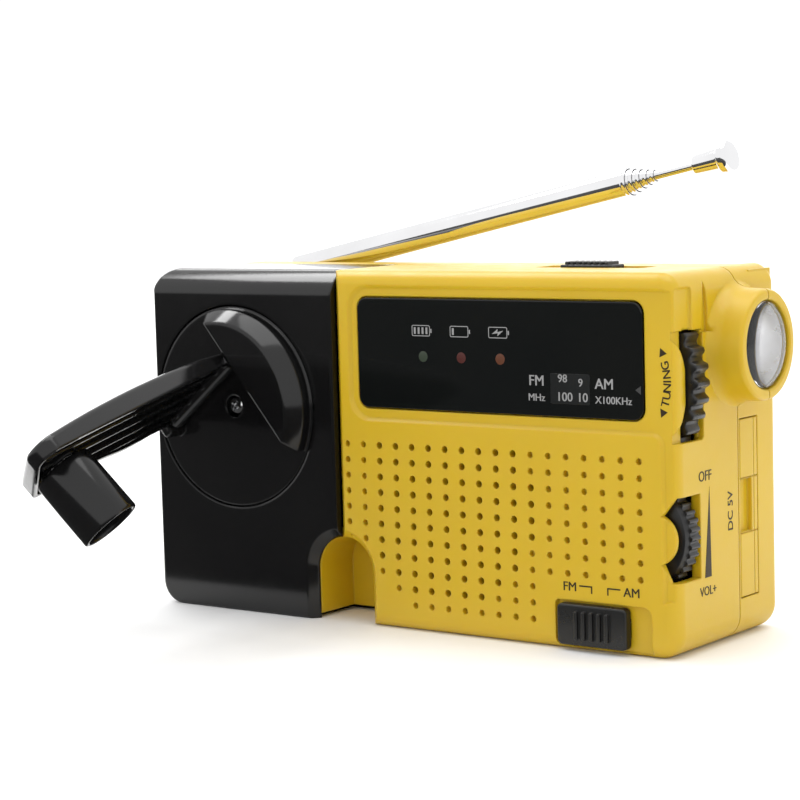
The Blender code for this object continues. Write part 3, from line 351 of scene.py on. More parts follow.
def rounded_profile(points, radius, steps=4):
    """The profile with each inner corner rounded; corners nearer than the radius get a smaller one."""
    rounded = [points[0]]
    for before, corner, after in zip(points, points[1:], points[2:]):
        to_before = Vector(before) - Vector(corner)
        to_after = Vector(after) - Vector(corner)
        reach = min(radius, to_before.length * 0.45, to_after.length * 0.45)
        start = Vector(corner) + to_before.normalized() * reach
        end = Vector(corner) + to_after.normalized() * reach
        for i in range(steps + 1):
            t = i / steps
            point = start * (1 - t) ** 2 + Vector(corner) * 2 * t * (1 - t) + end * t ** 2
            rounded.append(tuple(point))
    rounded.append(points[-1])
    return rounded


# Materials. Texture sizes are in metres, since the meshes are.

def new_material(name):
    material = bpy.data.materials.new(name)
    material.use_nodes = True
    tree = material.node_tree
    return material, tree, tree.nodes["Principled BSDF"]


def object_coordinates(tree):
    return tree.nodes.new("ShaderNodeTexCoord").outputs["Object"]


def noise(tree, size, detail=3.0, roughness=0.5):
    """Noise whose features are about size metres across."""
    node = tree.nodes.new("ShaderNodeTexNoise")
    node.inputs["Scale"].default_value = 1 / size
    node.inputs["Detail"].default_value = detail
    node.inputs["Roughness"].default_value = roughness
    tree.links.new(object_coordinates(tree), node.inputs["Vector"])
    return node.outputs["Fac"]


def spread(tree, value, low, high):
    """Maps a noise value to a range."""
    node = tree.nodes.new("ShaderNodeMapRange")
    node.inputs["From Min"].default_value = 0.3
    node.inputs["From Max"].default_value = 0.7
    node.inputs["To Min"].default_value = low
    node.inputs["To Max"].default_value = high
    tree.links.new(value, node.inputs["Value"])
    return node.outputs["Result"]


def blended(tree, value, first, second):
    """A colour between two, by a noise value."""
    node = tree.nodes.new("ShaderNodeMix")
    node.data_type = "RGBA"
    node.inputs[6].default_value = (*first, 1)
    node.inputs[7].default_value = (*second, 1)
    tree.links.new(spread(tree, value, 0, 1), node.inputs["Factor"])
    return node.outputs[2]


def bump(tree, height, distance, strength, normal=None):
    node = tree.nodes.new("ShaderNodeBump")
    node.inputs["Distance"].default_value = distance
    node.inputs["Strength"].default_value = strength
    tree.links.new(height, node.inputs["Height"])
    if normal:
        tree.links.new(normal, node.inputs["Normal"])
    return node.outputs["Normal"]


def soft_edges(tree, radius):
    """The normal of a surface whose edges are broken by this radius."""
    node = tree.nodes.new("ShaderNodeBevel")
    node.samples = 6
    node.inputs["Radius"].default_value = radius
    return node.outputs["Normal"]


def plastic(name, colours, roughness, grain, grain_strength, edge=0.0003, specular=0.5):
    """Moulded plastic: two near colours in broad clouds, uneven gloss, fine grain and broken edges."""
    material, tree, shader = new_material(name)
    clouds = noise(tree, 0.03, 4)
    tree.links.new(blended(tree, clouds, *colours), shader.inputs["Base Color"])
    rough = spread(tree, noise(tree, 0.004, 5, 0.6), roughness * 0.85, roughness * 1.15)
    tree.links.new(rough, shader.inputs["Roughness"])
    grained = bump(tree, noise(tree, grain, 2), 0.00005, grain_strength, soft_edges(tree, edge))
    tree.links.new(grained, shader.inputs["Normal"])
    shader.inputs["Specular IOR Level"].default_value = specular
    return material


def yellow_plastic():
    shades = ((0.58, 0.38, 0.008), (0.615, 0.405, 0.010))
    material = plastic("yellow_plastic", shades, 0.36, 0.0004, 0.25, 0.0005)
    shader = material.node_tree.nodes["Principled BSDF"]
    shader.inputs["Subsurface Weight"].default_value = 0.25
    shader.inputs["Subsurface Radius"].default_value = (1.0, 0.45, 0.05)
    shader.inputs["Subsurface Scale"].default_value = 0.0015
    return material


def lamp_glass(name, colour):
    darker = tuple(channel * 0.7 for channel in colour)
    return plastic(name, (darker, colour), 0.25, 0.0006, 0.2, 0.0001, 0.4)


def print_ink(name, colour):
    faded = tuple(channel * 0.88 for channel in colour)
    return plastic(name, (faded, colour), 0.5, 0.00015, 0.2, 0.00002, 0.3)


def metal(name, colour, roughness, grain, edge=0.0001):
    """Plated or brushed metal with faint smears in its gloss."""
    material, tree, shader = new_material(name)
    shader.inputs["Metallic"].default_value = 1.0
    duller = tuple(channel * 0.93 for channel in colour)
    tree.links.new(blended(tree, noise(tree, 0.01, 4), duller, colour), shader.inputs["Base Color"])
    rough = spread(tree, noise(tree, 0.003, 6, 0.65), roughness * 0.7, roughness * 1.3)
    tree.links.new(rough, shader.inputs["Roughness"])
    tree.links.new(bump(tree, noise(tree, grain, 2), 0.00002, 0.3, soft_edges(tree, edge)),
                   shader.inputs["Normal"])
    return material


def clear_plastic():
    material, tree, shader = new_material("clear_plastic")
    shader.inputs["Transmission Weight"].default_value = 1.0
    shader.inputs["IOR"].default_value = 1.49
    tree.links.new(blended(tree, noise(tree, 0.006, 3), (0.96, 0.97, 0.98), (0.99, 0.99, 1.0)),
                   shader.inputs["Base Color"])
    rough = spread(tree, noise(tree, 0.002, 5), 0.01, 0.05)
    tree.links.new(rough, shader.inputs["Roughness"])
    return material


def copper_winding():
    """Enamelled wire: fine turns across the rod."""
    material = metal("copper_winding", (0.75, 0.32, 0.14), 0.3, 0.0003)
    tree = material.node_tree
    wave = tree.nodes.new("ShaderNodeTexWave")
    wave.bands_direction = "X"
    wave.inputs["Scale"].default_value = 700
    tree.links.new(object_coordinates(tree), wave.inputs["Vector"])
    turns = bump(tree, wave.outputs["Fac"], 0.0001, 0.8)
    tree.links.new(turns, tree.nodes["Principled BSDF"].inputs["Normal"])
    return material


YELLOW = yellow_plastic()
GLOSS = plastic("black_gloss", ((0.0045, 0.0045, 0.0048), (0.0065, 0.0065, 0.0065)),
                0.12, 0.0015, 0.06, 0.0007, 0.45)
BLACK = plastic("black_plastic", ((0.006, 0.006, 0.006), (0.010, 0.010, 0.010)),
                0.30, 0.0003, 0.35, 0.00025, 0.45)
WINDOW = plastic("window_plastic", ((0.004, 0.005, 0.005), (0.006, 0.0065, 0.006)),
                 0.09, 0.006, 0.04, 0.0002, 0.35)
DIAL_GLASS = plastic("dial_glass", ((0.012, 0.013, 0.013), (0.018, 0.019, 0.019)),
                     0.12, 0.004, 0.04, 0.0001, 0.35)
CHROME = metal("chrome", (0.86, 0.86, 0.87), 0.07, 0.002)
STEEL = metal("steel", (0.60, 0.60, 0.62), 0.25, 0.0005)
CLEAR = clear_plastic()
GREY_INK = print_ink("grey_ink", (0.30, 0.30, 0.30))
DIM_INK = print_ink("dim_ink", (0.05, 0.05, 0.05))
DARK_INK = print_ink("dark_ink", (0.035, 0.022, 0.008))
MIRROR = metal("mirror", (0.86, 0.86, 0.87), 0.28, 0.002)
CAD_FINISHES = {
    "white_nylon": plastic("nylon", ((0.70, 0.69, 0.62), (0.78, 0.77, 0.71)), 0.4, 0.0004, 0.2),
    "circuit_board": plastic("circuit_board", ((0.015, 0.10, 0.035), (0.03, 0.16, 0.06)),
                             0.3, 0.0008, 0.5),
    "paper_cone": plastic("paper_cone", ((0.02, 0.02, 0.02), (0.04, 0.038, 0.035)), 0.8, 0.0005, 0.8),
    "sleeve": plastic("battery_sleeve", ((0.03, 0.20, 0.08), (0.05, 0.26, 0.11)), 0.3, 0.0007, 0.3),
    "ferrite": plastic("ferrite", ((0.02, 0.02, 0.022), (0.035, 0.035, 0.04)), 0.6, 0.0004, 0.7),
    "copper_wire": copper_winding(), "steel": STEEL, "chrome": CHROME, "clear_plastic": CLEAR,
    "black_plastic": BLACK, "black_gloss": GLOSS, "yellow_plastic": YELLOW, "smoked_window": WINDOW,
    "lamp_full": lamp_glass("lamp_full", (0.045, 0.06, 0.04)),
    "lamp_low": lamp_glass("lamp_low", (0.085, 0.022, 0.018)),
    "lamp_charging": lamp_glass("lamp_charging", (0.13, 0.045, 0.022)),
}


# Pieces.

FLAT_FACED = ("case_front", "case_back", "case_crank_side", "crank_lever", "window_pane", "port_flap",
              "band_slide_knob", "torch_slide_knob")
SHARP_ANGLES = {"crank_wheel": 20, "case_crank_side": 25}


def smooth(mesh, angle=32):
    mesh.shade_smooth()
    mesh.set_sharp_from_angle(angle=math.radians(angle))


def flatten_large_faces(obj):
    """Keeps the shading of a large face flat up to its rounded edge."""
    modifier = obj.modifiers.new("weighted_normals", "WEIGHTED_NORMAL")
    modifier.keep_sharp = True
    modifier.weight = 90


SLOTS = {item["node"]: item["material_slot"] for item in frame["record"]["subparts"]}


def piece(name, mesh, finish, body, place=None, node=None):
    """A shown piece that rides on a body. It may stand for a CAD node, and then hides the node."""
    if place:
        mesh.transform(place)
    mesh.transform(TO_WORLD)
    mesh.materials.clear()
    mesh.materials.append(finish)
    smooth(mesh, SHARP_ANGLES.get(name, 32))
    obj = bpy.data.objects.new(name, mesh)
    if name in FLAT_FACED:
        flatten_large_faces(obj)
    link(obj)
    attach(obj, body)
    if node:
        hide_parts(node)


def combined(mesh, other, operation):
    """The Boolean of two meshes given in the same coordinates, as a new mesh."""
    target = bpy.data.objects.new("target", mesh)
    tool = bpy.data.objects.new("tool", other)
    for obj in (target, tool):
        link(obj)
    modifier = target.modifiers.new(operation.lower(), "BOOLEAN")
    modifier.operation = operation
    modifier.solver = "EXACT"
    modifier.object = tool
    bpy.context.view_layer.update()
    graph = bpy.context.evaluated_depsgraph_get()
    result = bpy.data.meshes.new_from_object(target.evaluated_get(graph))
    bpy.data.objects.remove(target)
    bpy.data.objects.remove(tool)
    return result


def cut(mesh):
    return mesh, "DIFFERENCE"


def join(mesh):
    return mesh, "UNION"


def carved(mesh, *steps):
    """Applies the cuts and joins in order."""
    for other, operation in steps:
        mesh = combined(mesh, other, operation)
    return mesh


# The case.

def nacelle(front):
    """Half of the torch's round housing, flared where it leaves the side."""
    end = case_box("front_shell")[1].x
    side = -1 if front else 1
    flare = [(12.4, WIDTH - 0.4), (11.5, WIDTH + 0.5), (11.0, WIDTH + 1.6), (10.75, WIDTH + 3.0)]
    rim = [(10.6, end - 0.9), (10.45, end - 0.4), (10.15, end - 0.1), (9.7, end), (8.8, end),
           (TORCH_BORE, end - 0.3)]
    profile = [(0, WIDTH - 6), (12.4, WIDTH - 6)] + flare + rim + [(TORCH_BORE, WIDTH + 1), (0, WIDTH + 1)]
    solid = transformed(turned_mesh(profile, 96), along_x(0, TORCH.y, TORCH.z))
    return clipped(solid, (0, PARTING_Y + side * HALF_GAP, 0), (0, -side, 0))


def torch_bore():
    return rod_x(TORCH.y, TORCH.z, TORCH_BORE, WIDTH - 10, WIDTH + 12, 96)


def grille(through):
    """Every hole of one kind: those that go right through, or the blind ones."""
    bm = bmesh.new()
    radius = 0.72
    end_radius = radius if through else 0.55
    depth, middle = (FRONT_WALL + 1, FRONT_WALL / 2) if through else (1.5, 0.25)
    for column, rows in enumerate(GRILLE_ROWS):
        first, last = OPEN_ROWS.get(column, (0, -1))
        for row in range(rows):
            if (first <= row <= last) != through:
                continue
            place = along_y(GRILLE_X + GRILLE_PITCH_X * column, middle, GRILLE_Z - GRILLE_PITCH_Z * row)
            bmesh.ops.create_cone(bm, cap_ends=True, segments=14, radius1=radius, radius2=end_radius,
                                  depth=depth + 0.5, matrix=place)
    return mesh_from(bm, "grille")


def tuning_opening():
    """The opening beside the tuning wheel's cover, whose curved edge runs round the corner."""
    low, high = TUNING_SLOT
    half, bulge = (high - low) / 2, 5.4
    radius = (half ** 2 + bulge ** 2) / (2 * bulge)
    angle = math.degrees(math.asin(half / radius))
    cover = arc(-1.2 + bulge - radius, (low + high) / 2, radius, -angle, angle, 40)
    outline = cover + [(9.9, high), (10.4, high - 0.5), (10.4, low + 0.5), (9.9, low)]
    return side_prism([outline], 126.8, WIDTH + 4)


def volume_opening():
    """The opening round the volume wheel's small curved cover, with slanting ends."""
    low, high = VOLUME_SLOT
    cover = arc(122.4, VOLUME.z, 5.0, 65, -65, 32)
    front = cover + [(126.2, low), (WIDTH + 4, low), (WIDTH + 4, high), (127.3, high)]
    return front_prism([front], -1, 1.7)


def pocket_mouth():
    """The chamfer round the mouth of the knob's pocket."""
    overlap, reach = 0.2, CHAMFER + 1
    inner = arch(POCKET_LEFT + overlap, POCKET_RIGHT - overlap, -6, POCKET_SPRING)
    outer = arch(POCKET_LEFT - reach, POCKET_RIGHT + reach, -6, POCKET_SPRING)
    return tapered_prism(inner, outer, CHAMFER + overlap, -1)


def sunk_field(bottom, corner, right, foot, top, left):
    """One outline of the field that is sunk round the window and turns down beside the grille."""
    left_low = arc(left + 4.6, bottom + 4.6, 4.6, 180, 270, 10)
    turn = arc(right - corner, bottom - corner, corner, 90, 0, 10)
    end = [(right, foot), (WIDTH + 12, foot), (WIDTH + 12, top)]
    left_high = arc(left + 4.6, top - 4.6, 4.6, 90, 180, 10)
    return left_low + turn + end + left_high


def window_surround():
    """The shallow field round the window, with sloping sides, open towards the wheels."""
    inner = sunk_field(42.5, 2.6, 125.3, 11.2, 68.5, 53.1)
    outer = sunk_field(41.3, 1.4, 124.1, 10.0, 69.7, 51.9)
    return tapered_prism(inner, outer, 0.7, -0.7)


def corner_fields():
    """The field's turn round the corner above the tuning wheel, and the notch behind it."""
    turn = box_mesh((WIDTH - 0.6, -1, 60), (WIDTH + 2, 6.4, 69.2), 0.5)
    notch = [(10.2, 60.5), (12.6, 60.5), (12.2, 66.0), (11.3, 70.0), (10.6, 68.5)]
    return [cut(turn), cut(side_prism([notch], WIDTH - 0.7, WIDTH + 1))]


def case_front():
    outline = rounded_rectangle(FRONT_X, 0, WIDTH, HEIGHT, (0, 5, 4, 0))
    body = bevel_edges(front_prism([outline], 0, PARTING_Y - HALF_GAP), 2.8, 8,
                       lambda middle: middle.y < 0.01 and middle.x > FRONT_X + 1)
    seam = [(FRONT_X - 1, -1), (FRONT_X + CHAMFER + 1, -1), (FRONT_X - 1, CHAMFER + 1)]
    ledge = rounded_rectangle(54.5, 44.35, 121.3, 66.95, (2.5, 2.5, 2.5, 2.5))
    band = rounded_rectangle(101, 0.75, 122.3, 9.7, (0.8, 0.8, 2, 0.8))
    torch = rounded_rectangle(87.2, 16.0, 111.8, 22.6, (1, 1, 1, 1))
    pocket_wall = arch(POCKET_LEFT - 1.8, POCKET_RIGHT + 1.8, WALL / 2, POCKET_SPRING)
    mesh = carved(
        body,
        join(nacelle(True)),
        cut(box_mesh((FRONT_X + 2, FRONT_WALL, WALL), (WIDTH - WALL, 30, HEIGHT - WALL))),
        join(front_prism([pocket_wall], 2.3, 15)),
        cut(front_prism([arch(POCKET_LEFT, POCKET_RIGHT, -1, POCKET_SPRING)], -1, POCKET_DEPTH)),
        cut(prism_mesh([seam], -1, HEIGHT + 1)),
        cut(pocket_mouth()),
        cut(window_surround()),
        cut(front_prism([ledge], -1, 1.9)),
        cut(grille(False)),
        cut(grille(True)),
        *corner_fields(),
        cut(tuning_opening()),
        cut(rod_y(TUNING.x, TUNING.z, TUNING_RADIUS + 0.1, 3.8, 10.2, 96)),
        cut(volume_opening()),
        cut(box_mesh((124, 1.6, VOLUME_SLOT[0]), (WIDTH + 4, 8.7, VOLUME_SLOT[1]))),
        cut(front_prism([band], -1, 1.2)),
        cut(box_mesh((BAND_SLOT[0], 0, 3.2), (BAND_SLOT[1], FRONT_WALL + 1, 7.0))),
        cut(prism_mesh([torch], HEIGHT - 0.7, HEIGHT + 1)),
        cut(box_mesh((TORCH_SLOT[0], 17.6, HEIGHT - WALL - 1), (TORCH_SLOT[1], 21.4, HEIGHT + 1))),
        cut(torch_bore()),
    )
    piece("case_front", mesh, YELLOW, "case", node="front_shell")


def crank_recess():
    return rod_y(CRANK.x, CRANK.z, DISC_RADIUS + 0.3, -1, 5, 128)


def case_crank_side():
    """The glossy half: a crisp line across the front, below its sloping top."""
    outline = rounded_rectangle(0, 0, SEAM_X, HEIGHT, (5, 0, 0, 4))
    body = bevel_edges(front_prism([outline], 0, PARTING_Y - HALF_GAP), 0.6, 4,
                       lambda middle: middle.y < 0.01)
    shoulder = [(-1, 66.2), (0, 67.1), (0.9, 68.7), (2.1, 70.2), (3.5, 71.3), (5.2, HEIGHT),
                (6, HEIGHT + 1), (-1, HEIGHT + 1)]
    pan_radius = DISC_RADIUS + 0.8
    pan = turned_mesh([(3, 1), (pan_radius, 1), (pan_radius, 7), (3, 7)], 128, True)
    mesh = carved(
        body,
        cut(side_prism([shoulder], -1, SEAM_X + 1)),
        cut(box_mesh((WALL, WALL, WALL), (SEAM_X + 10, 30, HEIGHT - WALL - 2))),
        join(transformed(pan, along_y(CRANK.x, 0, CRANK.z))),
        cut(crank_recess()),
        cut(front_prism([arch(POCKET_LEFT, POCKET_RIGHT, -1, POCKET_SPRING)], -1, WALL + 0.5)),
        cut(pocket_mouth()),
        cut(box_mesh((POCKET_LEFT - 2.1, WALL, -1), (SEAM_X + 1, 15.3, 19.8))),
    )
    piece("case_crank_side", mesh, GLOSS, "case", node="crank_housing")


def case_back():
    low, _ = case_box("rear_shell")
    outline = rounded_rectangle(0, 0, WIDTH, HEIGHT, (5, 5, 4, 5))
    body = bevel_edges(front_prism([outline], low.y, DEPTH), 3.0, 8,
                       lambda middle: middle.y > DEPTH - 0.01)
    groove = rounded_rectangle(GROOVE_FRONT, GROOVE_FLOOR, DEPTH + 2, HEIGHT + 2, (1, 0, 0, 0))
    port_low, port_high = case_box("port_cover")
    socket = case_middle("power_socket")
    screws = [case_middle("case_screw_" + name) for name in
              ("upper_left", "lower_left", "middle", "lower_right")]
    holes = [cut(rod_y(place.x, place.z, 2.9, 31, DEPTH + 1, 48)) for place in screws]
    bosses = [join(rod_y(place.x, place.z, 3.6, PARTING_Y + 0.3, DEPTH - 1, 32)) for place in screws]
    gap = 0.25
    mesh = carved(
        body,
        join(nacelle(False)),
        cut(box_mesh((WALL, 10, WALL), (WIDTH - WALL, DEPTH - WALL, HEIGHT - WALL))),
        join(box_mesh((1, 30.2, GROOVE_FLOOR - 1.6), (WIDTH - 1, DEPTH - 1, HEIGHT - 1))),
        cut(side_prism([groove], GROOVE_START, GROOVE_END)),
        join(box_mesh((WIDTH - 4.2, port_low.y - 0.5, 6.5), (WIDTH - 1, 33, 44.5))),
        cut(box_mesh((WIDTH - 2.2, port_low.y - gap, PORT_LOW - gap),
                     (WIDTH + 1, port_high.y + gap, PORT_HIGH + gap), 0.2)),
        cut(rod_x(socket.y, socket.z, 3.3, WIDTH - 6, WIDTH + 1, 48)),
        *bosses,
        *holes,
        cut(torch_bore()),
    )
    piece("case_back", mesh, YELLOW, "case", node="rear_shell")


def port_flap():
    """The flap over the socket: a finger scoop between two fine seams."""
    low, high = case_box("port_cover")
    body = box_mesh((low.x, low.y, PORT_LOW), (high.x, high.y, PORT_HIGH), 0.12)
    floor_x, end_x = WIDTH - 0.25, WIDTH + 1
    mesh = carved(
        body,
        cut(box_mesh((WIDTH - 1.0, low.y - 1, 20.9), (end_x, 28.6, 31.1), 0.15)),
        cut(box_mesh((floor_x, low.y - 1, 31.2), (end_x, high.y + 1, 31.45))),
        cut(box_mesh((floor_x, low.y - 1, 20.55), (end_x, high.y + 1, 20.8))),
        cut(box_mesh((floor_x, 29.4, 0), (end_x, 29.62, 60))),
    )
    piece("port_flap", mesh, YELLOW, "port_cover", node="port_cover")


def window_pane():
    low, high = case_box("display_window")
    outline = rounded_rectangle(low.x, low.z, high.x, high.z, (2.2, 2.2, 2.2, 2.2))
    pane = front_prism([outline], low.y, high.y)
    body = bevel_edges(pane, 0.25, 4, lambda middle: middle.y < low.y + 0.01)
    piece("window_pane", body, WINDOW, "case", node="display_window")


# Print and marks.

WINDOW_FACE = case_box("display_window")[0].y
INK = 0.03
CAPITAL_HEIGHT = 0.7


def lettering(name, text, height, place, finish):
    """Printed letters, centred on place, whose local X and Y run along and up the text.

    Three copies, each a little further along and higher than the last, make the strokes bold."""
    curve = bpy.data.curves.new(name, "FONT")
    curve.body = text
    curve.size = height / CAPITAL_HEIGHT
    curve.align_x = "CENTER"
    curve.align_y = "CENTER"
    curve.extrude = INK
    curve.resolution_u = 4
    letters = evaluated_mesh(bpy.data.objects.new(name, curve))
    bm = bmesh.new()
    for _ in range(3):
        letters.transform(Matrix.Translation((height * 0.022, 0, 0.005)))
        bm.from_mesh(letters)
    bpy.data.meshes.remove(letters)
    piece(name, mesh_from(bm, name), finish, "case", place)


def front_place(x, z, y=0.0, turn=0.0):
    return Matrix.Translation((x, y, z)) @ UPRIGHT @ Matrix.Rotation(math.radians(turn), 4, "Z")


def side_place(y, z, turn=0.0):
    facing = Matrix.Translation((WIDTH, y, z)) @ Matrix.Rotation(math.pi / 2, 4, "Z")
    return facing @ UPRIGHT @ Matrix.Rotation(math.radians(turn), 4, "Z")


def window_mark(name, outlines, finish=GREY_INK):
    """A flat printed mark on the window."""
    piece(name, front_prism(outlines, WINDOW_FACE - INK, WINDOW_FACE + INK), finish, "case")


def frame_outline(x0, z0, x1, z1, line):
    """A rectangle's printed outline."""
    return [rounded_rectangle(x0, z0, x1, z1, (0.35,) * 4, 4),
            rounded_rectangle(x0 + line, z0 + line, x1 - line, z1 - line, (0.2,) * 4, 4)]


def battery_icon(name, x, bars):
    """A battery with its terminal, and bars that show its charge."""
    z0, z1 = 59.2, 61.4
    window_mark(name, frame_outline(x, z0, x + 4.4, z1, 0.16))
    terminal = [(x + 4.5, z0 + 0.7), (x + 4.8, z0 + 0.7), (x + 4.8, z1 - 0.7), (x + 4.5, z1 - 0.7)]
    window_mark(name + "_terminal", [terminal])
    for i in range(bars):
        left = x + 0.5 + 0.95 * i
        bar = [(left, z0 + 0.45), (left + 0.45, z0 + 0.45), (left + 0.45, z1 - 0.45), (left, z1 - 0.45)]
        window_mark("%s_bar_%d" % (name, i + 1), [bar])


def charging_icon():
    battery_icon("icon_charging", 86.7, 0)
    bolt = [(87.5, 60.0), (88.9, 61.0), (88.8, 60.4), (90.2, 60.7), (88.8, 59.6), (88.9, 60.2)]
    window_mark("icon_charging_bolt", [bolt])


def window_print():
    battery_icon("icon_full", 68.4, 4)
    battery_icon("icon_low", 77.6, 1)
    charging_icon()
    for name in ("full", "low", "charging"):
        place = case_middle("indicator_" + name)
        lens = [(0, -0.02), (0.9, -0.02), (1.25, 0.02), (1.3, 0.2), (0, 0.2)]
        piece("lamp_window_" + name, turned_mesh(lens, 32), CAD_FINISHES["lamp_" + name], "case",
              along_y(place.x, WINDOW_FACE, place.z))
    pane = rounded_rectangle(100.7, 47.1, 109.5, 52.9, (0.4,) * 4, 4)
    window_mark("dial_pane", [pane], DIAL_GLASS)
    face = WINDOW_FACE - INK
    legends = (("label_fm", "FM", 2.0, 97.5, 51.3), ("label_mhz", "MHz", 1.4, 97.5, 48.1),
               ("label_am", "AM", 2.0, 112.6, 51.1), ("label_khz", "X100KHz", 1.4, 114.6, 48.1),
               ("dial_98", "98", 1.5, 103.4, 51.9), ("dial_100", "100", 1.7, 103.8, 48.4),
               ("dial_9", "9", 1.5, 107.4, 51.2), ("dial_10", "10", 1.7, 107.8, 48.4))
    for name, text, height, x, z in legends:
        lettering(name, text, height, front_place(x, z, face), GREY_INK)
    window_mark("dial_pointer", [[(119.4, 50.3), (120.6, 49.5), (120.6, 51.1)]], DIM_INK)


def case_print():
    """Legends printed on the yellow case."""
    radius, middle_z, field = 14.1, 51.65, 0.69
    for i, (letter, angle) in enumerate(zip("TUNING", (-15.1, -9.0, -3.3, 1.5, 6.9, 13.6))):
        x = TUNING.x + radius * math.cos(math.radians(angle))
        z = middle_z + radius * math.sin(math.radians(angle))
        place = front_place(x, z, field, 90 + angle)
        lettering("label_tuning_%d" % (i + 1), letter, 1.65, place, DARK_INK)
    arrowhead = [(-0.85, -0.7), (0.85, -0.7), (0, 0.8)]
    for name, z, turn in (("up", 57.5, 24), ("down", 46.1, 156)):
        mesh = prism_mesh([arrowhead], -INK, INK)
        piece("mark_tuning_" + name, mesh, DARK_INK, "case", front_place(124.95, z, field, turn))
    lettering("label_band_fm", "FM", 1.75, front_place(104.3, 12.25), DARK_INK)
    lettering("label_band_am", "AM", 1.75, front_place(118.0, 12.15), DARK_INK)
    line = 0.28
    for name, x0, x1, foot in (("fm", 106.5, 109.4, 109.4), ("am", 112.7, 115.6, 112.7 + line)):
        top = 12.75
        bar = [(x0, top - line), (x1, top - line), (x1, top), (x0, top)]
        drop = [(foot - line, 11.3), (foot, 11.3), (foot, top - line), (foot - line, top - line)]
        piece("mark_band_%s_bar" % name, front_prism([bar], -INK, INK), DARK_INK, "case")
        piece("mark_band_%s_drop" % name, front_prism([drop], -INK, INK), DARK_INK, "case")
    lettering("label_off", "OFF", 1.95, side_place(10.5, 33.5), DARK_INK)
    lettering("label_vol", "VOL+", 1.75, side_place(11.2, 11.7), DARK_INK)
    lettering("label_dc", "DC 5V", 1.9, side_place(20.2, 25.6, 90), DARK_INK)
    wedge = [(12.15, 31.4), (10.1, 14.3), (12.6, 14.3)]
    piece("mark_volume", side_prism([wedge], WIDTH - INK, WIDTH + INK), DARK_INK, "case")


# The crank.

def segment_profile():
    """From the axis out: the raised face, its chamfer and the skirt down to the disc."""
    return [(0, -5.5), (17.7, -5.5), (18.1, -5.35), (20.2, -2.6), (20.4, -2.2), (20.5, 1), (0, 1)]


def crank_wheel():
    """The turning disc with its raised segment, hinge lug and screw well."""
    turn = disc_frame() @ Matrix.Rotation(-math.pi / 2, 4, "X")
    rim = [(0, 0), (DISC_RADIUS - 0.35, 0), (DISC_RADIUS - 0.1, 0.1), (DISC_RADIUS, 0.35),
           (DISC_RADIUS, 4.5), (0, 4.5)]
    chord = 9.0
    segment = clipped(turned_mesh(segment_profile(), 160), (0, -chord, 0), (0, 1, 0))
    segment.transform(turn)
    pivot_x, pivot_y = (disc_frame().inverted() @ FOLD).xy
    lug = transformed(box_mesh((-9.7, -5.0, -16.4), (-4.3, 1, -13.9), 0.8), disc_frame())
    pin_hole = transformed(cylinder_mesh(1.3, -20, 12.6, 32),
                           disc_frame() @ Matrix.Translation((pivot_x, pivot_y, 0)))
    well = turned_mesh([(0, -1), (2.5, -1), (2.3, 0.3), (2.3, 2.2), (0, 2.2)], 48)
    mesh = carved(
        transformed(turned_mesh(rim, 160), turn),
        join(segment),
        join(lug),
        cut(pin_hole),
        cut(transformed(well, turn)),
        cut(transformed(cylinder_mesh(1.5, 1, 6, 32), turn)),
    )
    piece("crank_wheel", mesh, GLOSS, "crank", node="crank_disc")


def arm_outline():
    """The arm from its knob side, as (along, across). Its slanted end lies along the base when folded."""
    upper = [(0, 7.3), (2, 7.5), (4, 7.7), (9, 8.05), (14, 8.3), (20, 8.5), (26, 8.6), (37, 8.75),
             (48, 8.8)]
    upper_end = arc(61.6, 4.6, 4.0, 85, -39.8, 14)
    lower_end = arc(49.4, -9.5, 4.5, -39.8, -95, 8)
    wave = [(46, -13.4), (43, -12.7), (40.5, -12.1), (38, -11.7), (35.5, -11.5), (33, -11.5),
            (30.5, -11.75), (28, -12.2), (25, -12.8), (22, -13.3), (19.5, -13.5), (17, -13.5),
            (14, -13.2), (11, -12.7), (7, -12.8), (3, -13.3), (0, -13.6)]
    return upper + upper_end + lower_end + wave


def inset(outline, distance):
    """A clockwise outline drawn in by a distance."""
    points = []
    for before, point, after in zip(outline[-1:] + outline[:-1], outline, outline[1:] + outline[:1]):
        along = (Vector(after) - Vector(before)).normalized()
        points.append((point[0] + distance * along.y, point[1] - distance * along.x))
    return points


def arm_plate():
    """The arm's body as (along, across, outwards): its outer face is bowed and its outer edge rounded."""
    rise = [(-9, 1.5), (-4, 1.85), (0, 2.2), (2.5, 2.45), (5, 2.65), (7.5, 2.85), (10, 3.0), (15, 3.22),
            (20, 3.4), (26, 3.53), (32, 3.6), (38, 3.56), (44, 3.45), (49, 3.3), (54, 3.1), (58.5, 2.87),
            (63, 2.6), (72, 1.9)]
    above = front_prism([rise + [(72, 9), (-9, 9)]], -20, 20)
    plate = combined(prism_mesh([arm_outline()], -ARM_RIM, 6), above, "DIFFERENCE")
    bm = bmesh.new()
    bm.from_mesh(plate)
    edges = [edge for edge in bm.edges
             if min(vert.co.z for vert in edge.verts) > 0.5 and edge.calc_face_angle(0) > 0.8]
    bmesh.ops.bevel(bm, geom=edges, offset=1.1, segments=4, profile=0.5, affect="EDGES")
    return mesh_from(bm, "plate")


def arm_rib(floor, across):
    """A rib in the arm's hollow, as long as the slanted end leaves room for."""
    low = (0.5, floor - 0.3, across - 0.4)
    high = (60 + 0.83 * across, 0.5, across + 0.4)
    return transformed(box_mesh(low, high, 0.15), arm_frame())


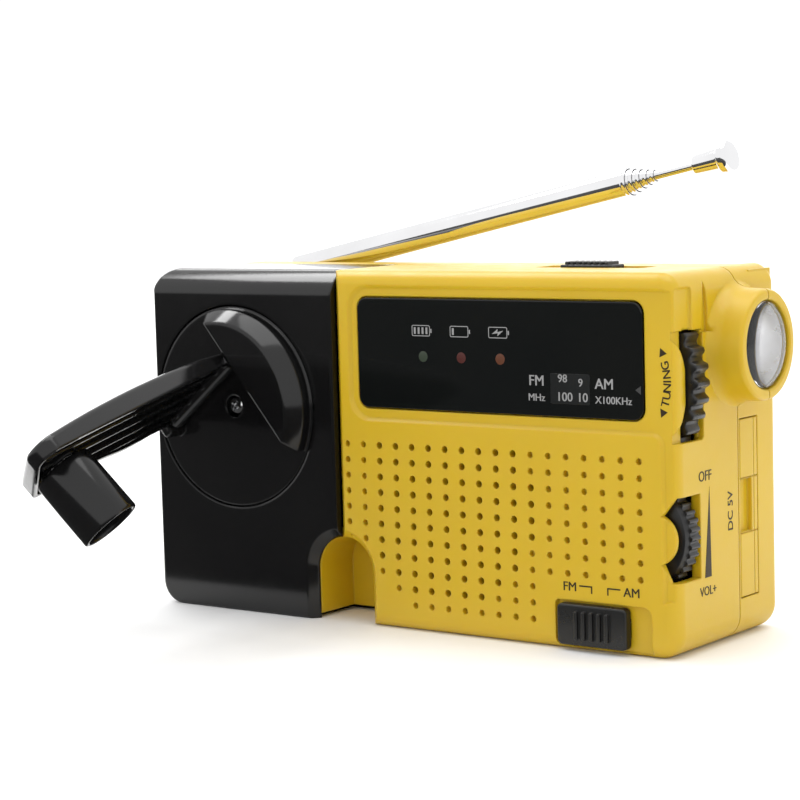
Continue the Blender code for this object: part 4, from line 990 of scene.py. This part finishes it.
def crank_lever():
    """The arm: rounded outside, hollow and ribbed on the knob's side, with a knuckle at its hinge."""
    local = arm_frame()
    flat = local @ UPRIGHT
    floor = ARM_RIM - 1.6
    hollow = prism_mesh([inset(arm_outline(), 1.1)], -ARM_RIM - 1, -floor)
    ribs = [join(arm_rib(floor, across)) for across in (4.0, -1.0, -6.0, -10.8)]
    knuckle = turned_mesh([(0, -13.6), (2.0, -13.6), (2.25, -13.35), (2.25, 7.05), (2.0, 7.3),
                           (0, 7.3)], 48)
    boss = turned_mesh([(0, floor - 0.5), (4.4, floor - 0.5), (4.4, ARM_RIM - 0.15), (4.2, ARM_RIM),
                        (0, ARM_RIM)], 48)
    mesh = carved(
        transformed(arm_plate(), flat),
        cut(transformed(hollow, flat)),
        *ribs,
        join(transformed(knuckle, local)),
        join(transformed(boss, knob_frame())),
        cut(transformed(cylinder_mesh(1.3, -20, 20, 32), local)),
        cut(transformed(cylinder_mesh(1.5, -6, 6, 32), knob_frame())),
        cut(transformed(cylinder_mesh(3.0, -5, -1.5, 32), knob_frame())),
    )
    piece("crank_lever", mesh, GLOSS, "crank_arm", node="crank_arm")


def crank_grip():
    """The hollow grip, with rounded lips."""
    start, radius, wall = 1.3, 6.2, 1.1
    end, floor = start + 14.7, start + 5.5
    corners = [(1.5, start), (radius - 0.1, start), (radius, start + 7), (radius, end),
               (radius - wall, end), (radius - wall - 0.1, floor), (1.5, floor)]
    mesh = turned_mesh(rounded_profile(corners, 0.5), 96, True)
    piece("crank_grip", mesh, GLOSS, "crank_knob", knob_frame(), "crank_knob")


def centre_screw():
    """The cross-head screw in the disc's well."""
    place = along_y(CRANK.x, 0, CRANK.z) @ Matrix.Rotation(0.5, 4, "Z")
    head = turned_mesh([(0, 0.3), (0.7, 0.32), (1.3, 0.45), (1.7, 0.7), (1.8, 0.95), (1.8, 1.5),
                        (1.2, 1.55), (1.2, 7.4), (0, 7.4)], 48)
    mesh = carved(
        head,
        cut(box_mesh((-1.1, -0.24, 0), (1.1, 0.24, 1.1))),
        cut(box_mesh((-0.24, -1.1, 0), (0.24, 1.1, 1.1))),
    )
    piece("centre_screw", mesh, CHROME, "crank", place, "crank_screw")


# Wheels and switches.

def ribbed_outline(radius, depth, ribs, sharpness=1.0):
    """A circle whose edge swells and falls evenly."""
    points = []
    steps = ribs * 10
    for i in range(steps):
        angle = 2 * math.pi * i / steps
        swell = max(-1.0, min(1.0, sharpness * math.cos(ribs * angle)))
        reach = radius - depth * (0.5 - 0.5 * swell)
        points.append((reach * math.cos(angle), reach * math.sin(angle)))
    return points


def tuning_knob_wheel():
    """A dished wheel with a lumpy grip edge."""
    low, high = case_box("tuning_wheel")
    outline = [ribbed_outline(TUNING_RADIUS, 1.0, 36, 1.6), arc(0, 0, 2.3, 0, 350, 35)]
    body = bevel_edges(front_prism(outline, low.y, high.y), 0.3, 3,
                       lambda middle: (middle.y < low.y + 0.01 or middle.y > high.y - 0.01)
                       and middle.xz.length > 5)
    front, floor = low.y - 1, low.y + 1.2
    dish = turned_mesh([(6, front), (15.4, front), (14.6, floor), (6, floor)], 96, True)
    mesh = carved(body, cut(transformed(dish, along_y(0, 0, 0))))
    piece("tuning_knob_wheel", mesh, BLACK, "tuning", Matrix.Translation((TUNING.x, 0, TUNING.z)),
          "tuning_wheel")


def volume_knob_wheel():
    """A smaller wheel: a smooth bevelled face in front of a ribbed rim."""
    low, high = case_box("volume_wheel")
    rim = front_prism([ribbed_outline(VOLUME_RADIUS, 0.5, 40, 1.8), arc(0, 0, 1.8, 0, 350, 35)],
                      low.y + 1.4, high.y)
    face = turned_mesh([(1.8, low.y), (VOLUME_RADIUS - 1.6, low.y), (VOLUME_RADIUS - 0.9, low.y + 0.3),
                        (VOLUME_RADIUS - 0.45, low.y + 1.7), (1.8, low.y + 1.7)], 96, True)
    mesh = carved(rim, join(transformed(face, along_y(0, 0, 0))))
    piece("volume_knob_wheel", mesh, BLACK, "volume", Matrix.Translation((VOLUME.x, 0, VOLUME.z)),
          "volume_wheel")


def band_slide_knob():
    low, high = case_box("band_switch_knob")
    outline = rounded_rectangle(low.x, low.z, high.x, high.z, (1.0, 1.0, 1.0, 1.0))
    face = -0.9
    cap = bevel_edges(front_prism([outline], face, 0.9), 0.45, 4, lambda middle: middle.y < face + 0.01)
    ribs = [join(box_mesh((x - 0.4, low.y, 2.4), (x + 0.4, -0.5, 7.9), 0.25))
            for x in (106.3 + 1.7 * i for i in range(5))]
    stem = box_mesh((106.0, 0.5, 3.6), (112.0, high.y, 6.6))
    mesh = carved(cap, *ribs, join(stem))
    piece("band_slide_knob", mesh, BLACK, "band_slider", node="band_switch_knob")


def torch_slide_knob():
    low, high = case_box("torch_switch_knob")
    cap = box_mesh((low.x, low.y, HEIGHT - 0.4), (high.x, high.y, HEIGHT + 0.5), 0.3)
    ribs = [join(box_mesh((x - 0.35, 17.3, HEIGHT + 0.2), (x + 0.35, 21.7, high.z), 0.2))
            for x in (93.9 + 1.3 * i for i in range(8))]
    stem = box_mesh((96.0, 18.2, low.z), (101.0, 20.8, HEIGHT - 0.2))
    mesh = carved(cap, *ribs, join(stem))
    piece("torch_slide_knob", mesh, BLACK, "torch_slider", node="torch_switch_knob")


# The torch.

def torch_glass():
    """A slightly domed lens with a flat rim."""
    low, high = case_box("torch_lens")
    radius, rise = (high.z - low.z) / 2, 1.4
    rim = high.x - rise
    dome = [(radius * math.sin(a), rim + rise * math.cos(a))
            for a in (math.radians(90 * i / 14) for i in range(15))]
    back = [(0, rim - 0.4), (radius - 0.8, rim - 0.4), (radius - 0.8, low.x), (radius, low.x)]
    piece("torch_glass", turned_mesh(back + dome[::-1], 96), CLEAR, "case",
          along_x(0, TORCH.y, TORCH.z), "torch_lens")


def torch_bowl():
    """A parabolic mirror round the lamp."""
    low, high = case_box("torch_reflector")
    steps = 16
    mouth = (high.z - low.z) / 2 - 0.5
    bowl = [(2.8 + (mouth - 2.8) * i / steps, low.x + 0.4 + (high.x - low.x - 0.4) * (i / steps) ** 2)
            for i in range(steps + 1)]
    back = [(radius + 0.4, height - 0.3) for radius, height in reversed(bowl)]
    piece("torch_bowl", turned_mesh(bowl + back, 96, True), MIRROR, "case",
          along_x(0, TORCH.y, TORCH.z), "torch_reflector")


# The antenna.

SECTION_RADII = [(case_box("antenna_section_%d" % i)[1].y - case_box("antenna_section_%d" % i)[0].y) / 2
                 for i in range(1, 6)] + [1.0]
TUBE_END, TUBE_STEP = 92.5, 1.45


def antenna_tube(index):
    """A chromed tube whose rolled mouth steadies the next one."""
    radius, inner = SECTION_RADII[index], SECTION_RADII[index] - 0.25
    start = 6.0 + 1.5 * index
    end = TUBE_END + TUBE_STEP * index
    neck = SECTION_RADII[index + 1] + 0.12
    profile = [(inner, start), (radius, start), (radius, end - 1.1), (radius - 0.12, end - 0.95),
               (radius - 0.12, end - 0.75), (radius, end - 0.55), (radius, end - 0.3),
               (radius - 0.15, end - 0.08), (neck + 0.2, end), (neck, end), (inner, end - 1.0)]
    mesh = turned_mesh(profile, 64, True)
    name = "antenna_section_%d" % (index + 1)
    if index == 0:
        mesh = carved(
            mesh,
            join(cylinder_mesh(radius, 4.6, 6.4)),
            join(box_mesh((-1.6, -1.3, -1.2), (1.6, 1.3, 5.5), 0.3)),
            cut(transformed(cylinder_mesh(0.95, -4, 4, 32), UPRIGHT)),
        )
    piece("antenna_tube_%d" % (index + 1), mesh, CHROME, name, antenna_frame(), name)


def antenna_end():
    """The rod and its button end."""
    rod_end = TUBE_END + TUBE_STEP * 4 + 9.9
    rod = cylinder_mesh(SECTION_RADII[-1], 16.5, rod_end, 48)
    piece("antenna_inner_rod", rod, CHROME, "antenna_rod", antenna_frame(), "antenna_rod")
    corners = [(0, 0.3), (1.3, 0.3), (1.3, -0.6), (2.1, -0.6), (2.35, 5.2), (3.4, 5.7), (3.4, 7.0),
               (2.9, 7.6), (0, 7.6)]
    button = turned_mesh(rounded_profile([(radius, rod_end + rise) for radius, rise in corners], 0.35), 64)
    piece("antenna_button", button, CHROME, "antenna_rod", antenna_frame(), "antenna_tip")


def antenna_yoke():
    """The turning foot and the two cheeks that hold the first tube."""
    x, y, z = ANTENNA
    foot = case_box("antenna_base")[0].z
    mesh = transformed(cylinder_mesh(3.1, foot, foot + 0.8, 64), Matrix.Translation((x, y, 0)))
    cheeks = [join(box_mesh((x - 1.9, y + side * 2.45 - 0.5, foot + 0.5),
                            (x + 1.9, y + side * 2.45 + 0.5, z + 1.9), 0.3)) for side in (-1, 1)]
    mesh = carved(
        mesh,
        *cheeks,
        cut(transformed(cylinder_mesh(1.2, foot - 1, foot + 2, 32), Matrix.Translation((x, y, 0)))),
        cut(transformed(cylinder_mesh(0.95, -5, 5, 32), along_y(x, y, z))),
    )
    piece("antenna_yoke", mesh, CHROME, "antenna_base", node="antenna_base")


# What stays as the CAD made it, with its finish.

def finish_cad_nodes():
    for node, obj in frame["nodes"].items():
        obj.data.materials.clear()
        obj.data.materials.append(CAD_FINISHES[SLOTS[node]])
        smooth(obj.data)


# Stage.

def area_light(name, place, target, size, power):
    light = bpy.data.lights.new(name, "AREA")
    light.shape = "RECTANGLE"
    light.size, light.size_y = size
    light.energy = power
    obj = bpy.data.objects.new(name, light)
    obj.location = place
    obj.rotation_mode = "QUATERNION"
    obj.rotation_quaternion = (Vector(target) - Vector(place)).to_track_quat("-Z", "Y")
    link(obj)


def stage_sheet(name, x, y_low, y_high, z, finish):
    """A flat sheet on the stage, from -x to x, in metres."""
    bm = bmesh.new()
    corners = [(-x, y_low, z), (x, y_low, z), (x, y_high, z), (-x, y_high, z)]
    bm.faces.new([bm.verts.new(corner) for corner in corners])
    obj = bpy.data.objects.new(name, mesh_from(bm, name))
    obj.data.materials.append(finish)
    link(obj)
    return obj


def floor():
    """A pale seamless floor."""
    pale = plastic("pale_floor", ((0.945, 0.945, 0.945), (0.96, 0.96, 0.96)), 0.7, 0.002, 0.05)
    stage_sheet("floor", 4, -4, 4, 0, pale)


def dark_card():
    """A dark card on the floor in front, which only the glossy surfaces see."""
    dark = plastic("dark_cloth", ((0.01, 0.01, 0.01), (0.015, 0.015, 0.015)), 0.9, 0.002, 0.05)
    obj = stage_sheet("dark_card", 3, -4, -0.04, 0.0005, dark)
    obj.visible_camera = False
    obj.visible_diffuse = False
    obj.visible_shadow = False
    obj.visible_transmission = False


def surroundings():
    world = bpy.data.worlds.new("studio")
    world.use_nodes = True
    background = world.node_tree.nodes["Background"]
    background.inputs["Color"].default_value = (1.0, 1.0, 1.0, 1)
    background.inputs["Strength"].default_value = 1.08
    bpy.context.scene.world = world
    centre = (0, 0, 0.04)
    area_light("overhead", (0.1, 0.1, 1.1), centre, (0.9, 0.9), 5.0)
    area_light("upper_left", (-0.6, 0.1, 0.85), centre, (0.6, 0.2), 3.0)
    area_light("back", (-0.8, 1.1, 0.4), centre, (1.8, 0.7), 5.0)
    bpy.context.scene.view_settings.view_transform = "Standard"


# The camera's angles are in degrees, its place in metres and its lens in millimetres.
CAMERA_AZIMUTH, CAMERA_ELEVATION, CAMERA_ROLL = 36.86, 5.82, -1.58
CAMERA_PLACE = (0.2819, -0.3943, 0.0941)
CAMERA_LENS, SENSOR_WIDTH = 106.64, 36


def camera():
    data = bpy.data.cameras.new("camera")
    data.sensor_width = SENSOR_WIDTH
    data.lens = CAMERA_LENS
    data.clip_start = 0.01
    obj = bpy.data.objects.new("camera", data)
    azimuth, elevation, roll = (math.radians(a) for a in (CAMERA_AZIMUTH, CAMERA_ELEVATION, CAMERA_ROLL))
    back = Vector((math.sin(azimuth) * math.cos(elevation), -math.cos(azimuth) * math.cos(elevation),
                   math.sin(elevation)))
    right = (-back).cross(Vector((0, 0, 1))).normalized()
    up = right.cross(-back)
    turned_right = right * math.cos(roll) + up * math.sin(roll)
    turned_up = -right * math.sin(roll) + up * math.cos(roll)
    rotation = Matrix((turned_right, turned_up, back)).transposed().to_4x4()
    obj.matrix_world = Matrix.Translation(CAMERA_PLACE) @ rotation
    link(obj)
    bpy.context.scene.camera = obj


finish_cad_nodes()
for build in (case_front, case_crank_side, case_back, port_flap, window_pane, window_print, case_print,
              crank_wheel, crank_lever, crank_grip, centre_screw, tuning_knob_wheel, volume_knob_wheel,
              band_slide_knob, torch_slide_knob, torch_glass, torch_bowl, antenna_yoke, antenna_end):
    build()
for section in range(5):
    antenna_tube(section)
floor()
dark_card()
surroundings()
camera()
